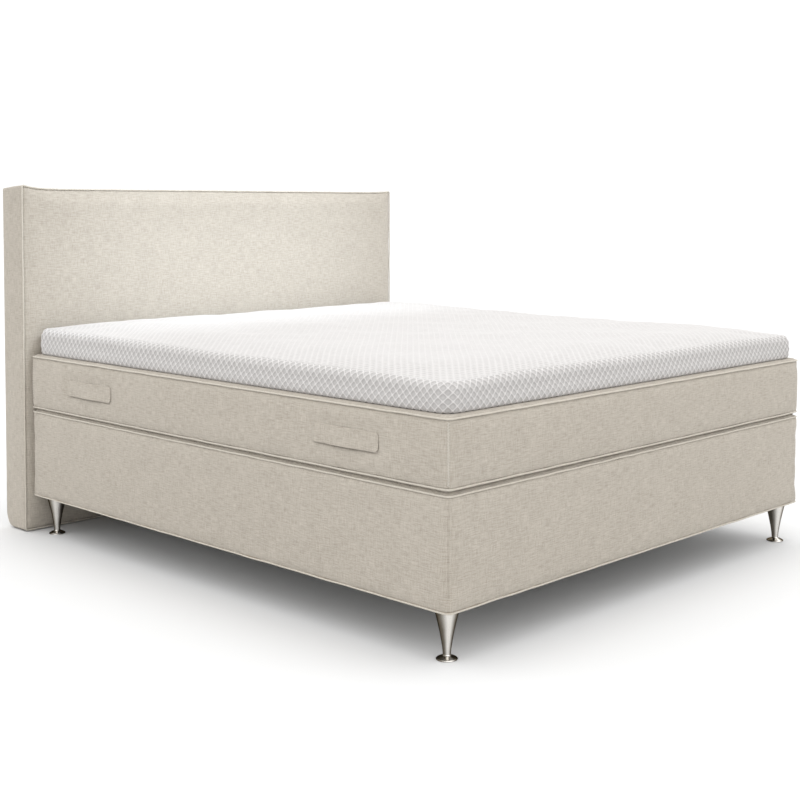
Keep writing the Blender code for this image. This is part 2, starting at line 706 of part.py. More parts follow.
def build_headboard_cover(assembly, bolt_holes):
    front_low = HEADBOARD_SEAM_Y - PANEL_THICKNESS / 2
    layer = partial(add_block, assembly=assembly, ring=headboard_ring, inset=INNER_INSET)
    panel = layer(
        "headboard_front_panel",
        "fabric",
        low=front_low,
        high=front_low + PANEL_THICKNESS,
        low_rise=-HEADBOARD_CROWN,
        high_rise=-HEADBOARD_CROWN,
    )
    foam = layer(
        "headboard_foam",
        "foam",
        low=FOAM_FRONT,
        high=BOARD_FRONT - CLEARANCE,
        low_rise=-HEADBOARD_CROWN,
    )
    board = layer(
        "headboard_board", "timber", low=BOARD_FRONT, high=BOARD_FRONT + BOARD_THICKNESS
    )
    for piece in (panel, foam, board):
        cut(piece, *bolt_holes)

    stations = heel_stations()
    front = HEADBOARD_SEAM_Y + PIPING_RADIUS + CLEARANCE
    outside = [headboard_ring(0, front)]
    outside += [headboard_ring(0, place, lift) for place, lift in stations]
    inside = [headboard_ring(COVER_THICKNESS, front)]
    inside += [headboard_ring(COVER_THICKNESS, place, lift) for place, lift in stations]
    rings = outside + list(reversed(inside))
    loft("headboard_boxing", "fabric", assembly, rings, closed=True)
    lining_ring = partial(headboard_ring, lift=stations[-1][1])
    layer(
        "headboard_back_lining", "felt", ring=lining_ring, low=LINING_FRONT, high=HEADBOARD_BACK_Y
    )
    add_piping("headboard_piping", assembly, headboard_ring(PIPING_INSET, HEADBOARD_SEAM_Y))


def build_headboard(assembly, bolt_holes):
    build_headboard_frame(assembly, bolt_holes)
    build_headboard_cover(assembly, bolt_holes)
    glide_y = HEADBOARD_BACK_Y - HEADBOARD_DEPTH / 2 - GLIDE_RADIUS / 2
    spacer_start = HEAD_Y + CLEARANCE
    spacer_end = HEADBOARD_SEAM_Y - PANEL_THICKNESS / 2 - HEADBOARD_CROWN - CLEARANCE
    shank_start = HEAD_Y - INNER_INSET - RAIL_THICKNESS - CLEARANCE
    for side, name in ((-1, "left"), (1, "right")):
        x = side * BOLT_SPACING / 2
        shape = cylinder_along("Z", GLIDE_RADIUS, 0, GLIDE_HEIGHT - CLEARANCE)
        glide = add("headboard_glide_" + name, mesh_from(shape, "glide"), "felt", assembly)
        glide.location = (side * (HEADBOARD_WIDTH / 2 - GLIDE_INSET), glide_y, 0)

        shape = cylinder_along("Y", SPACER_RADIUS, spacer_start, spacer_end)
        spacer = add("headboard_spacer_" + name, mesh_from(shape, "spacer"), "felt", assembly)
        spacer.location = (x, 0, BOLT_LEVEL)
        cut(spacer, *bolt_holes)

        end = FRAME_FRONT + BOLT_GRIP
        shank = cylinder_along("Y", BOLT_RADIUS, shank_start - BOLT_HEAD_HEIGHT / 2, end)
        head = cylinder_along("Y", BOLT_HEAD_RADIUS, shank_start - BOLT_HEAD_HEIGHT, shank_start, 6)
        bolt = add("headboard_bolt_" + name, mesh_from(shank, "bolt"), "steel", assembly)
        bolt.location = (x, 0, BOLT_LEVEL)
        guide = add_cutter("bolt_head_" + name, head, (x, 0, BOLT_LEVEL))
        join = bolt.modifiers.new("Head", "BOOLEAN")
        join.operation = "UNION"
        join.object = guide


def add_bolt_holes():
    start = HEAD_Y - INNER_INSET - RAIL_THICKNESS * 2
    end = FRAME_FRONT + BOLT_GRIP + HOLE_CLEARANCE
    holes = []
    for side, name in ((-1, "left"), (1, "right")):
        shape = cylinder_along("Y", BOLT_RADIUS + HOLE_CLEARANCE, start, end)
        place = (side * BOLT_SPACING / 2, 0, BOLT_LEVEL)
        holes.append(add_cutter("bolt_hole_" + name, shape, place))
    return holes


clear_scene()
BED = new_collection("box_spring_bed")
CUTTERS = new_collection("cutters")
bed_holes = add_bolt_holes()
build_base(add_assembly("base", (0, BED_CENTRE_Y, 0)), bed_holes)
build_headboard(add_assembly("headboard", (0, HEADBOARD_SEAM_Y, 0)), bed_holes)
build_mattress(add_assembly("mattress", (0, BED_CENTRE_Y, BEARING_LEVEL)))
build_topper(add_assembly("topper", (0, BED_CENTRE_Y, TOPPER_LOW)))
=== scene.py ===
"""Looks of the box spring bed: upholstery, piping, quilting, legs, floor, light and camera.

Metres, in the frame's own axes: +Z up, +Y towards the headboard.
"""

import functools
import math

import bpy
import numpy as np
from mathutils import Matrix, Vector


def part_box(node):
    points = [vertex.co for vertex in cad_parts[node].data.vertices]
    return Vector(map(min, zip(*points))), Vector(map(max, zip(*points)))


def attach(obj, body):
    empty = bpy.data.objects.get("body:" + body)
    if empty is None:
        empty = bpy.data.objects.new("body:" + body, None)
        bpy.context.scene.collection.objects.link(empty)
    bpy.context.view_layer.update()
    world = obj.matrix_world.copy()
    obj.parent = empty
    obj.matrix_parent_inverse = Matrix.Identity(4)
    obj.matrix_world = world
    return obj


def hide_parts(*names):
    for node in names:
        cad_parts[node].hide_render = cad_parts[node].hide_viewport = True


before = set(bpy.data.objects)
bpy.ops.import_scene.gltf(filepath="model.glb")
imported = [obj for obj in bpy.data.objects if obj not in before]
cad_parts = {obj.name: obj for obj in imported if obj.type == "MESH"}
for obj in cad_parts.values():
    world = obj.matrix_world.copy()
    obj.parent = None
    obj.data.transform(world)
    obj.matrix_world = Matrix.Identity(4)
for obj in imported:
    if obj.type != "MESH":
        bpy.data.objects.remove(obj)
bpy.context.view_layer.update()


def extent(node, axis):
    """Middle and half length of a CAD node along an axis, to a hundredth of a millimetre."""
    low, high = (float(corner[axis]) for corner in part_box(node))
    return round((low + high) / 2, 5), round((high - low) / 2, 5)


# The bed's outline at its seams, and the levels of those seams
HALF_WIDTH = extent("base_border", 0)[1]
BED_Y, HALF_LENGTH = extent("base_border", 1)
BASE_SEAMS = (extent("base_piping_bottom", 2)[0], extent("base_piping_top", 2)[0])
SOFT_DROP = 0.0026
MATTRESS_SEAMS = (extent("mattress_piping_bottom", 2)[0], extent("mattress_piping_top", 2)[0] - SOFT_DROP)
CORNER = 0.016

# Cloth and piping
CORD = 0.0027
SEAM_GAP = 0.0004
PIPING_INSET = 0.0005
INNER_INSET = 0.0037
PANEL = 0.003
BORDER_DEPTH = 0.0048
BASE_BULGE, MATTRESS_BULGE = 0.0012, 0.0028
CLOTH_PITCH = 0.014

# Handles
HANDLE_LENGTH = 2 * extent("mattress_handle_left_foot", 1)[1]
HANDLE_LEVEL, HANDLE_HALF_WIDTH = extent("mattress_handle_left_foot", 2)
HANDLE_Y = BED_Y - extent("mattress_handle_left_foot", 1)[0]
HANDLE_THICKNESS = 0.003

# Headboard. Its cloth rises to an ear at each top corner, left and right.
HEAD_HALF_WIDTH = extent("headboard_boxing", 0)[1]
HEAD_SEAM_Y = extent("headboard_piping", 1)[0]
HEAD_BACK_Y = sum(extent("headboard_boxing", 1))
HEAD_MIDDLE, HEAD_HALF_HEIGHT = extent("headboard_boxing", 2)
CAD_EAR = 0.009
HEAD_LOW = HEAD_MIDDLE - HEAD_HALF_HEIGHT
HEAD_TOP = HEAD_MIDDLE + HEAD_HALF_HEIGHT - CAD_EAR
HEAD_CORNER = 0.006
HEAD_CROWN = 0.013
EAR_RISE = (0.013, 0.005)
EAR_LENGTH = 0.270
BACK_EAR_SHARE = 0.3
HEEL_DEPTH = 0.036
HEEL_HEIGHT = 0.060
HEEL_LAST = math.pi / 2 * 0.82
HEEL = [
    (HEAD_BACK_Y - HEEL_DEPTH * (math.sin(HEEL_LAST) - math.sin(angle)), HEEL_HEIGHT * (1 - math.cos(angle)))
    for angle in np.linspace(0, HEEL_LAST, 12)
]

# Topper
TOPPER_HALF = (extent("topper_cover", 0)[1], extent("topper_cover", 1)[1])
TOPPER_MIDDLE, TOPPER_HALF_HEIGHT = extent("topper_cover", 2)
TOPPER_CROWN = 0.014
TOPPER_LOW = TOPPER_MIDDLE - TOPPER_HALF_HEIGHT
TOPPER_EDGE = TOPPER_MIDDLE + TOPPER_HALF_HEIGHT - TOPPER_CROWN
TOPPER_CORNER = 0.045
TOPPER_REACH = 0.180
TOPPER_RADIUS = 0.026
TOPPER_BEND = 0.015
TOPPER_SAG, SAG_REACH, HEAD_SAG_SHARE = 0.005, 0.16, 0.15
DIAMOND = (0.0250, 0.0240)
PUFF = 0.0042
LEVEL_SHARE = 0.65

# Legs, and how much texture runs once round a turned piece
LEG_RADIUS = extent("leg_foot_left", 0)[1]
LEG_TOP = 0.1327
FOOT_RADIUS = 0.0285
NECK_RADIUS = 0.0105
TURN = 0.04 * math.pi


# Shapes in numbers


def waves(u, v, length, seed, around=None):
    """Smooth noise of about this wavelength, from -1 to 1 at most places. With around given,
    it repeats after that distance in u."""
    count = 14
    rng = np.random.default_rng(seed)
    total = np.zeros(np.broadcast(u, v).shape)
    for _ in range(count):
        angle = rng.uniform(0, math.pi * 2)
        reach = rng.uniform(0.7, 1.5) / length
        ku, kv = reach * math.cos(angle), reach * math.sin(angle)
        if around:
            ku = round(ku * around) / around
        total += np.cos(2 * math.pi * (ku * u + kv * v) + rng.uniform(0, 2 * math.pi))
    return total / math.sqrt(count)


def graded(half, fine, coarse, growth=1.3):
    """Places from -half to half: close together at the ends, further apart between."""
    steps = [fine]
    while steps[-1] < coarse:
        steps.append(min(steps[-1] * growth, coarse))
    edge = np.cumsum([0] + steps)
    edge = edge[edge < half]
    count = max(1, math.ceil((half - edge[-1]) / coarse))
    inner = edge[-1] + (half - edge[-1]) * np.arange(1, count + 1) / count
    low = -half + np.concatenate([edge, inner])
    return np.concatenate([low, -low[-2::-1]])


def round_corners(x, y, half_x, half_y, radius):
    """A grid over a rectangle, with its corners drawn in to this radius."""
    u = np.maximum(np.abs(x) - (half_x - radius), 0)
    v = np.maximum(np.abs(y) - (half_y - radius), 0)
    ring, other = np.maximum(u, v), np.minimum(u, v)
    angle = other / np.where(ring > 0, ring, 1) * math.pi / 4
    major, minor = ring * np.cos(angle), ring * np.sin(angle)
    new_x = np.minimum(np.abs(x), half_x - radius) + np.where(u >= v, major, minor)
    new_y = np.minimum(np.abs(y), half_y - radius) + np.where(u >= v, minor, major)
    return np.sign(x) * new_x, np.sign(y) * new_y


def swell(distance, reach, power=2.0):
    """How far a padded face has risen at this distance from its edge, as a share."""
    return 1 - (1 - np.clip(distance / reach, 0, 1)) ** power


def ridge(distance, width):
    """1 at distance 0, falling smoothly to 0 on both sides."""
    return np.exp(-((distance / width) ** 2))


def unit(vectors):
    """The same directions, each with a length of 1."""
    return vectors / np.linalg.norm(vectors, axis=-1, keepdims=True)


def distances(path):
    """How far along a path each of its points lies."""
    return np.append(0, np.cumsum(np.linalg.norm(np.diff(path, axis=0), axis=1)))


def distances_round(path):
    """How far along a closed path each of its points lies, and last the whole way round."""
    steps = np.linalg.norm(np.roll(path, -1, axis=0) - path, axis=1)
    return np.append(distances(path), steps.sum())


def cubic(old, new):
    """Weights that carry values at the places old, smoothly, to the places new."""
    spot = np.clip(np.interp(new, old, np.arange(len(old))), 0, len(old) - 1.0001)
    base = np.floor(spot).astype(int)
    powers = (spot - base) ** np.arange(4)[:, None]
    kernel = ((0, -0.5, 1, -0.5), (1, 0, -2.5, 1.5), (0, 0.5, 2, -1.5), (0, 0, -0.5, 0.5))
    weights = np.zeros((len(new), len(old)))
    for shift, part in enumerate(kernel @ powers, -1):
        np.add.at(weights, (np.arange(len(new)), np.clip(base + shift, 0, len(old) - 1)), part)
    return weights


def wrapped(values):
    """Columns round a loop, some of them repeated at both ends, and their places."""
    more = np.concatenate([values[:, -3:], values, values[:, :4]], axis=1)
    return more, np.arange(-3, values.shape[1] + 4)


class Rim:
    """A rounded rectangle seen from above: points, outward directions and the distances round it,
    the last of them back at the start. It starts in the middle of the head side and runs to the
    left first."""

    def __init__(self, half_x, half_y, radius, step, corner_step):
        x, y = half_x - radius, half_y - radius
        arc_steps = max(4, int(round(radius * math.pi / 2 / corner_step / 2)) * 2)
        places, normals, self.corners = [], [], []

        def straight(begin, end):
            """Adds a straight run, and returns the angle of its outward direction."""
            length = np.linalg.norm(end - begin)
            count = max(1, math.ceil(length / step))
            way = (end - begin) / length
            places.extend(begin + way * length * i / count for i in range(count))
            normals.extend([np.array([way[1], -way[0]])] * count)
            return math.atan2(-way[0], way[1])

        start = cursor = np.array([0.0, half_y])
        for *centre, way_x, way_y in ((-x, y, 0, 1), (-x, -y, -1, 0), (x, -y, 0, -1), (x, y, 1, 0)):
            first = straight(cursor, np.array(centre) + radius * np.array([way_x, way_y]))
            self.corners.append(len(places) + arc_steps // 2)
            for i in range(arc_steps + 1):
                angle = first + math.pi / 2 * i / arc_steps
                outward = np.array([math.cos(angle), math.sin(angle)])
                cursor = np.array(centre) + radius * outward
                if i < arc_steps:
                    places.append(cursor)
                    normals.append(outward)
        straight(cursor, start)
        self.places, self.normals = np.array(places), np.array(normals)
        self.around = distances_round(self.places)
        self.total = float(self.around[-1])

    def at(self, spots):
        """Points and outward directions at these distances along the rim."""
        places, normals = (
            np.column_stack([np.interp(spots, self.around, np.append(line, line[0])) for line in values.T])
            for values in (self.places, self.normals)
        )
        return places, unit(normals)

    def from_corners(self, spots):
        """For each corner, its point's number and how far along the rim these distances lie from it."""
        for index in self.corners:
            gap = np.abs(spots - self.around[index])
            yield index, np.minimum(gap, self.total - gap)


# Meshes


def add_object(name, data):
    made = bpy.data.objects.new(name, data)
    bpy.context.scene.collection.objects.link(made)
    return made


def mesh_object(name, points, faces, uvs, smooth=True):
    """An object from arrays. faces is a list of index arrays, and uvs holds for each of them
    the texture place of every face corner, in metres."""
    mesh = bpy.data.meshes.new(name)
    mesh.vertices.add(len(points))
    mesh.vertices.foreach_set("co", np.asarray(points, np.float32).ravel())
    corners = np.concatenate([f.ravel() for f in faces]).astype(np.int32)
    sizes = np.concatenate([np.full(len(f), f.shape[1]) for f in faces])
    mesh.loops.add(len(corners))
    mesh.loops.foreach_set("vertex_index", corners)
    mesh.polygons.add(len(sizes))
    starts = np.concatenate([[0], np.cumsum(sizes)[:-1]]).astype(np.int32)
    mesh.polygons.foreach_set("loop_start", starts)
    mesh.update(calc_edges=True)
    layer = mesh.uv_layers.new(name="UVMap")
    flat = np.concatenate([np.asarray(u, np.float32).reshape(-1, 2) for u in uvs])
    layer.uv.foreach_set("vector", flat.ravel())
    mesh.polygons.foreach_set("use_smooth", np.full(len(sizes), smooth))
    mesh.update()
    return add_object(name, mesh)


def grid_faces(rows, columns, closed=False, looped=False, flip=False):
    """Quads between rows of points, and the grid place of each corner. closed joins the last
    column to the first, and looped the last row to the first."""
    r, c = np.meshgrid(np.arange(rows - 1 + looped), np.arange(columns - 1 + closed), indexing="ij")
    row = np.stack([r, r, r + 1, r + 1], axis=2).reshape(-1, 4)
    column = np.stack([c, c + 1, c + 1, c], axis=2).reshape(-1, 4)
    if flip:
        row, column = row[:, ::-1], column[:, ::-1]
    return row % rows * columns + column % columns, row, column


def edge_loop(rows, columns, offset=0):
    """The point numbers round the edge of a grid."""
    index = offset + np.arange(rows * columns).reshape(rows, columns)
    return np.concatenate([index[0, :-1], index[:-1, -1], index[-1, :0:-1], index[:0:-1, 0]])


def tube_band(name, points, u, v):
    """A closed skin of rows of points, each row all the way round. u and v are the texture places
    of columns and rows, and v may have one more, for where the last row meets the first."""
    faces, row, column = grid_faces(*points.shape[:2], closed=True, looped=True)
    uv = np.stack([u[column], v[row % len(v)]], axis=2)
    return mesh_object(name, points.reshape(-1, 3), [faces], [uv])


def slab(name, x, y, low, high, place=None):
    """A closed layer over a grid: faces low and high, and a wall round its edge. place turns
    the points into the frame's axes."""
    points = np.concatenate([np.stack([x, y, z], axis=2).reshape(-1, 3) for z in (high, low)])
    up = grid_faces(*x.shape)[0]
    loop = edge_loop(*x.shape)
    after = np.roll(loop, -1)
    wall = np.stack([after, loop, loop + x.size, after + x.size], axis=1)
    faces = np.concatenate([up, up[:, ::-1] + x.size, wall])
    uv = points[:, :2][faces]
    return mesh_object(name, place(points) if place else points, [faces], [uv])


def cord_round(name, path, normals, around, seed, up=(0, 0, 1)):
    """Piping sewn all the way round a closed path: a slightly uneven fabric tube."""
    sides = 14

    def uneven(size, length, number):
        return size * waves(around[:-1], 0.0, length, seed + number, around=around[-1])

    girth = CORD * (1 + uneven(0.045, 0.024, 0) + uneven(0.03, 0.3, 1))
    drift, side_drift = uneven(0.0004, 0.16, 2), uneven(0.00025, 0.11, 3)
    angles = 2 * math.pi * np.arange(sides + 1) / sides
    rows = []
    for angle in angles[:-1]:
        out, high = girth * math.cos(angle) + side_drift, girth * math.sin(angle) + drift
        rows.append(path + normals * out[:, None] + high[:, None] * up)
    return tube_band(name, np.array(rows), around, angles * CORD)


def stitches(name, threads, radius=0.0004, rise=0.0005):
    """Sewn threads, each given by its two ends and the way out: short rounded strands, arched."""
    sides = 6
    shares = np.array([0, 0.25, 0.5, 0.75, 1.0])[None, :, None]
    sizes = radius * np.array([0.45, 0.9, 1.0, 0.9, 0.45])[None, :, None, None]
    start, end, out = (np.array(part, float)[:, None] for part in zip(*threads))
    across = unit(np.cross(end - start, out))
    angles = (2 * math.pi * np.arange(sides) / sides)[None, :, None]
    ring = across * np.cos(angles) + out * np.sin(angles)
    middle = start + (end - start) * shares + out * rise * np.sin(math.pi * shares)
    points = (middle[:, :, None] + ring[:, None] * sizes).reshape(-1, 3)
    rings = shares.size
    strand = grid_faces(rings, sides, closed=True)[0].tolist()
    last = (rings - 1) * sides
    for i in range(1, sides - 1):
        strand += [(0, i + 1, i), (last, last + i, last + i + 1)]
    firsts = range(0, len(points), rings * sides)
    mesh = bpy.data.meshes.new(name)
    mesh.from_pydata(points.tolist(), [], [[first + i for i in face] for first in firsts for face in strand])
    mesh.shade_smooth()
    return add_object(name, mesh)


def turned(name, profile, place, sides=72):
    """A solid turned about Z, from a profile of radius and height from top to bottom."""
    radius, height = np.array(profile).T
    angles = 2 * math.pi * np.arange(sides) / sides
    ring = np.column_stack([np.cos(angles), np.sin(angles), np.zeros(sides)])
    points = radius[:, None, None] * ring + height[:, None, None] * [0, 0, 1] + place
    faces, row, column = grid_faces(len(profile), sides, closed=True, flip=True)
    uv = np.stack([column / sides * TURN, distances(profile)[row]], axis=2)
    flat = np.concatenate([points.reshape(-1, 3), [points[0].mean(0), points[-1].mean(0)]])
    i = np.arange(sides)
    after, last, top = (i + 1) % sides, sides * (len(profile) - 1), np.full(sides, points.size // 3)
    caps = np.concatenate([
        np.stack([top, i, after], axis=1), np.stack([top + 1, after + last, i + last], axis=1),
    ])
    piece = mesh_object(name, flat, [faces, caps], [uv, flat[caps][:, :, :2]])
    piece.data.set_sharp_from_angle(angle=math.radians(40))
    return piece


# Cloth


def cloth_moves(points, faces, pinned, pressure, grow, cap, frames=20):
    """How far each point of a cloth moves as it is blown up between its pinned seams. grow is
    how much larger the cloth was cut than the place it is sewn into, and cap is the furthest
    that a point may move."""
    mesh = bpy.data.meshes.new("cloth_trial")
    mesh.from_pydata(points.reshape(-1, 3).tolist(), [], [tuple(face) for face in faces])
    trial = add_object("cloth_trial", mesh)
    group = trial.vertex_groups.new(name="seam")
    group.add([int(i) for i in np.flatnonzero(pinned)], 1.0, "REPLACE")
    cloth = trial.modifiers.new("Cloth", "CLOTH")
    settings = cloth.settings
    settings.quality = 5
    settings.mass = 0.25
    settings.tension_stiffness = settings.compression_stiffness = 20.0
    settings.shear_stiffness = 8.0
    settings.bending_stiffness = 0.8
    settings.vertex_group_mass = "seam"
    settings.shrink_min = -grow
    settings.use_pressure = True
    settings.uniform_pressure_force = pressure
    settings.effector_weights.gravity = 0.0
    cloth.collision_settings.use_collision = False
    cloth.point_cache.frame_start, cloth.point_cache.frame_end = 1, frames
    scene = bpy.context.scene
    for frame_number in range(1, frames + 1):
        scene.frame_set(frame_number)
    blown = trial.evaluated_get(bpy.context.evaluated_depsgraph_get()).data
    moved = np.zeros(points.size, np.float32)
    blown.vertices.foreach_get("co", moved)
    bpy.data.objects.remove(trial)
    bpy.data.meshes.remove(mesh)
    scene.frame_set(1)
    moves = moved.reshape(points.shape) - points
    length = np.linalg.norm(moves, axis=-1, keepdims=True)
    return moves * np.minimum(1, cap / np.maximum(length, 1e-9))


# Materials


class Nodes:
    """Adds shader nodes to a tree."""

    def __init__(self, tree):
        self.tree = tree

    def add(self, kind, settings=None, **inputs):
        """A node. An input given as a socket is linked, and a number or colour is set. i0 is its
        first input, i1 the second, and so on."""
        made = self.tree.nodes.new(kind)
        for key, value in (settings or {}).items():
            setattr(made, key, value)
        for key, value in inputs.items():
            slot = made.inputs[int(key[1:])] if key[1:].isdigit() else made.inputs[key]
            if isinstance(value, bpy.types.NodeSocket):
                self.tree.links.new(value, slot)
            else:
                slot.default_value = value
        return made

    def maths(self, operation, a, b=0.0):
        return self.add("ShaderNodeMath", {"operation": operation}, i0=a, i1=b).outputs[0]

    def total(self, *parts):
        """The sum of some values, each times its share."""
        terms = [self.maths("MULTIPLY", value, share) for value, share in parts]
        return functools.reduce(functools.partial(self.maths, "ADD"), terms)


class Finish(Nodes):
    """A material with a Principled shader, whose patterns lie on the UV map, in metres, or in
    the object's own space. Their scales are numbers per metre."""

    def __init__(self, name, space=None, **sockets):
        self.material = bpy.data.materials.new(name)
        self.material.use_nodes = True
        super().__init__(self.material.node_tree)
        self.principled = self.tree.nodes["Principled BSDF"]
        for key, value in sockets.items():
            self.principled.inputs[key.replace("_", " ")].default_value = value
        if space == "UV":
            self.place = self.on_uv_map()
        elif space:
            self.place = self.add("ShaderNodeTexCoord").outputs[space]

    def on_uv_map(self):
        return self.add("ShaderNodeUVMap", {"uv_map": "UVMap"}).outputs[0]

    def scaled(self, scale, turn=0.0, place=None):
        vector = place or self.place
        if turn:
            vector = self.add("ShaderNodeMapping", i0=vector, i2=(0.0, 0.0, turn)).outputs[0]
        scale = scale if isinstance(scale, tuple) else (scale, scale, scale)
        return self.add("ShaderNodeMapping", i0=vector, i3=scale).outputs[0]

    def noise(self, scale, detail, rough, turn=0.0, place=None):
        moved = self.scaled(scale, turn, place)
        made = self.add("ShaderNodeTexNoise", Vector=moved, Scale=1.0, Detail=detail, Roughness=rough)
        return made.outputs["Fac"]

    def cells(self, scale):
        made = self.add("ShaderNodeTexVoronoi", {"feature": "F1"}, Vector=self.scaled(scale), Scale=1.0)
        return made.outputs["Distance"]

    def paint(self, tone, *stops):
        """The base colour, from a tone through these places and colours of a ramp."""
        made = self.add("ShaderNodeValToRGB", i0=tone)
        elements = made.color_ramp.elements
        while len(elements) < len(stops):
            elements.new(0.5)
        for element, (place, colour) in zip(elements, stops):
            element.position = place
            element.color = (*colour, 1.0)
        self.tree.links.new(made.outputs[0], self.principled.inputs["Base Color"])

    def bump(self, height, distance, strength):
        made = self.add("ShaderNodeBump", Strength=strength, Distance=distance, Height=height)
        self.tree.links.new(made.outputs[0], self.principled.inputs["Normal"])


def woven(name, dark, light, pitch=0.0011, turn=0.0, relief=0.00045):
    """Linen-like cloth: plain weave of slubby yarns, in a melange of two tones."""
    cloth = Finish(
        name, "UV", Roughness=0.9, Sheen_Weight=0.12, Sheen_Roughness=0.5, Specular_IOR_Level=0.25
    )
    yarn, contrast = 1.0 / pitch, 0.16
    warp = cloth.noise((yarn * 0.8, 38.0, 1.0), 3.0, 0.6, turn)
    weft = cloth.noise((38.0, yarn * 0.8, 1.0), 3.0, 0.6, turn)
    slub_up = cloth.noise((340.0, 34.0, 1.0), 2.0, 0.6, turn)
    slub_side = cloth.noise((30.0, 340.0, 1.0), 2.0, 0.6, turn)
    fleck = cloth.noise((380.0, 380.0, 1.0), 3.0, 0.65)
    patch = cloth.noise((11.0, 11.0, 1.0), 3.0, 0.55)
    fibres = cloth.total((warp, 0.5), (weft, 0.5))
    slubs = cloth.total((slub_up, 0.42), (slub_side, 0.58))
    tone = cloth.total((fibres, 0.28), (slubs, 0.46), (fleck, 0.20), (patch, 0.06))
    cloth.paint(tone, (0.5 - contrast, dark), (0.5 + contrast, light))
    weave_place = cloth.scaled((yarn * math.pi, yarn * math.pi, 1.0), turn)
    axes = cloth.add("ShaderNodeSeparateXYZ", Vector=weave_place).outputs
    over = cloth.maths("MULTIPLY", cloth.maths("SINE", axes[0]), cloth.maths("SINE", axes[1]))
    cloth.bump(cloth.total((over, 0.22), (fibres, 0.8), (slubs, 1.5)), relief, 0.8)
    return cloth.material


def knitted(name):
    """White double-knit quilt cloth, coloured with painted light and shade: a painted highlight on the raised
    net between its diamonds, painted shadow on the slopes beside it and mid painted shade in the hollows.
    """
    cloth = Finish(
        name, "UV", Roughness=0.82, Sheen_Weight=0.3, Sheen_Roughness=0.4, Specular_IOR_Level=0.3
    )
    loops = cloth.noise((900.0, 500.0, 1.0), 2.0, 0.5)
    soft = cloth.noise((40.0, 40.0, 1.0), 2.0, 0.5)
    # puff, how far the quilting has risen, chooses the painted light and shade below
    puff = cloth.add("ShaderNodeAttribute", {"attribute_name": "puff"}).outputs["Fac"]
    tone = cloth.total((puff, 0.7), (loops, 0.2), (soft, 0.1))
    # Painted highlight on the net, painted shadow on the slopes beside it, painted shade in the hollows
    net, slope_shadow, hollow_shade = (0.645, 0.626, 0.614), (0.390, 0.376, 0.367), (0.476, 0.461, 0.452)
    cloth.paint(tone, (0.20, net), (0.52, slope_shadow), (0.88, hollow_shade))
    cloth.bump(loops, 0.0003, 0.7)
    return cloth.material


def satin_metal(name, dark, light, rough, reflection_streaks=None):
    """Satin-plated metal: fine turning rings and smudges. Given a count for streaks round a turned piece,
    it adds painted reflection in the colour: long light and dark stripes down the piece and two broad
    bright bands, turned so that one faces the camera, with dark between them."""
    metal = Finish(name, "Object", Metallic=1.0, Specular_Tint=(*dark, 1.0))
    rings = metal.noise((60.0, 60.0, 2600.0), 3.0, 0.6)
    smudge = metal.noise((35.0, 35.0, 25.0), 3.0, 0.55)
    tone, stops = metal.maths("MULTIPLY", smudge, 0.5), (0.15, 0.35)
    if reflection_streaks:
        # Painted reflection in the base colour: dark and light stripes down the piece and bright bands round
        # it, where the metal would mirror its surroundings
        around = metal.on_uv_map()
        reflection_streak = metal.noise((reflection_streaks / TURN, 2.5, 1.0), 1.0, 0.4, place=around)
        # Two painted reflection bands round the piece, turned so that one faces the camera
        reflection_band_waves, reflection_band_start = 100.0, -8.17
        turn = metal.add("ShaderNodeSeparateXYZ", Vector=around).outputs["X"]
        turn = metal.maths("ADD", metal.maths("MULTIPLY", turn, reflection_band_waves), reflection_band_start)
        turn = metal.maths("ADD", metal.maths("MULTIPLY", metal.maths("COSINE", turn), 0.5), 0.5)
        tone = metal.total((metal.maths("POWER", turn, 4.5), 0.50), (reflection_streak, 0.45), (smudge, 0.15))
        stops = (0.28, 0.72)
    metal.paint(tone, *zip(stops, (dark, light)))
    shine = metal.maths("ADD", metal.total((rings, 0.10), (smudge, 0.06)), rough - 0.08)
    metal.tree.links.new(shine, metal.principled.inputs["Roughness"])
    metal.bump(rings, 0.00006, 0.5)
    return metal.material


def timber(name):
    """Planed softwood: long grain with darker late wood and a few pores."""
    wood = Finish(name, "Object", Roughness=0.62)
    bend = wood.noise(1.5, 2.0, 0.5)
    grain = wood.noise((14.0, 14.0, 90.0), 4.0, 0.6)
    pores = wood.noise((60.0, 60.0, 900.0), 2.0, 0.5)
    tone = wood.total((grain, 0.7), (bend, 0.2), (pores, 0.1))
    wood.paint(tone, (0.32, (0.40, 0.24, 0.12)), (0.5, (0.58, 0.40, 0.22)), (0.68, (0.70, 0.53, 0.33)))
    wood.bump(tone, 0.0004, 0.6)
    return wood.material


def nonwoven(name, dark, light):
    """Pressed fibre cloth, such as a dust cover, felt or a spring's pocket."""
    cloth = Finish(name, "Object", Roughness=0.93, Sheen_Weight=0.15)
    fibres = cloth.noise(420.0, 4.0, 0.65)
    clumps = cloth.noise(30.0, 3.0, 0.6)
    tone = cloth.total((fibres, 0.6), (clumps, 0.25), (cloth.cells(330.0), 0.2))
    cloth.paint(tone, (0.35, dark), (0.68, light))
    cloth.bump(tone, 0.0005, 0.7)
    return cloth.material


def foam(name):
    """Open-cell foam: pale yellow with fine cells."""
    block = Finish(name, "Object", Roughness=0.95)
    cells = block.cells(480.0)
    tone = block.total((cells, 0.6), (block.noise(6.0, 2.0, 0.5), 0.4))
    block.paint(tone, (0.2, (0.60, 0.55, 0.40)), (0.7, (0.80, 0.76, 0.62)))
    block.bump(cells, 0.0008, 0.8)
    return block.material


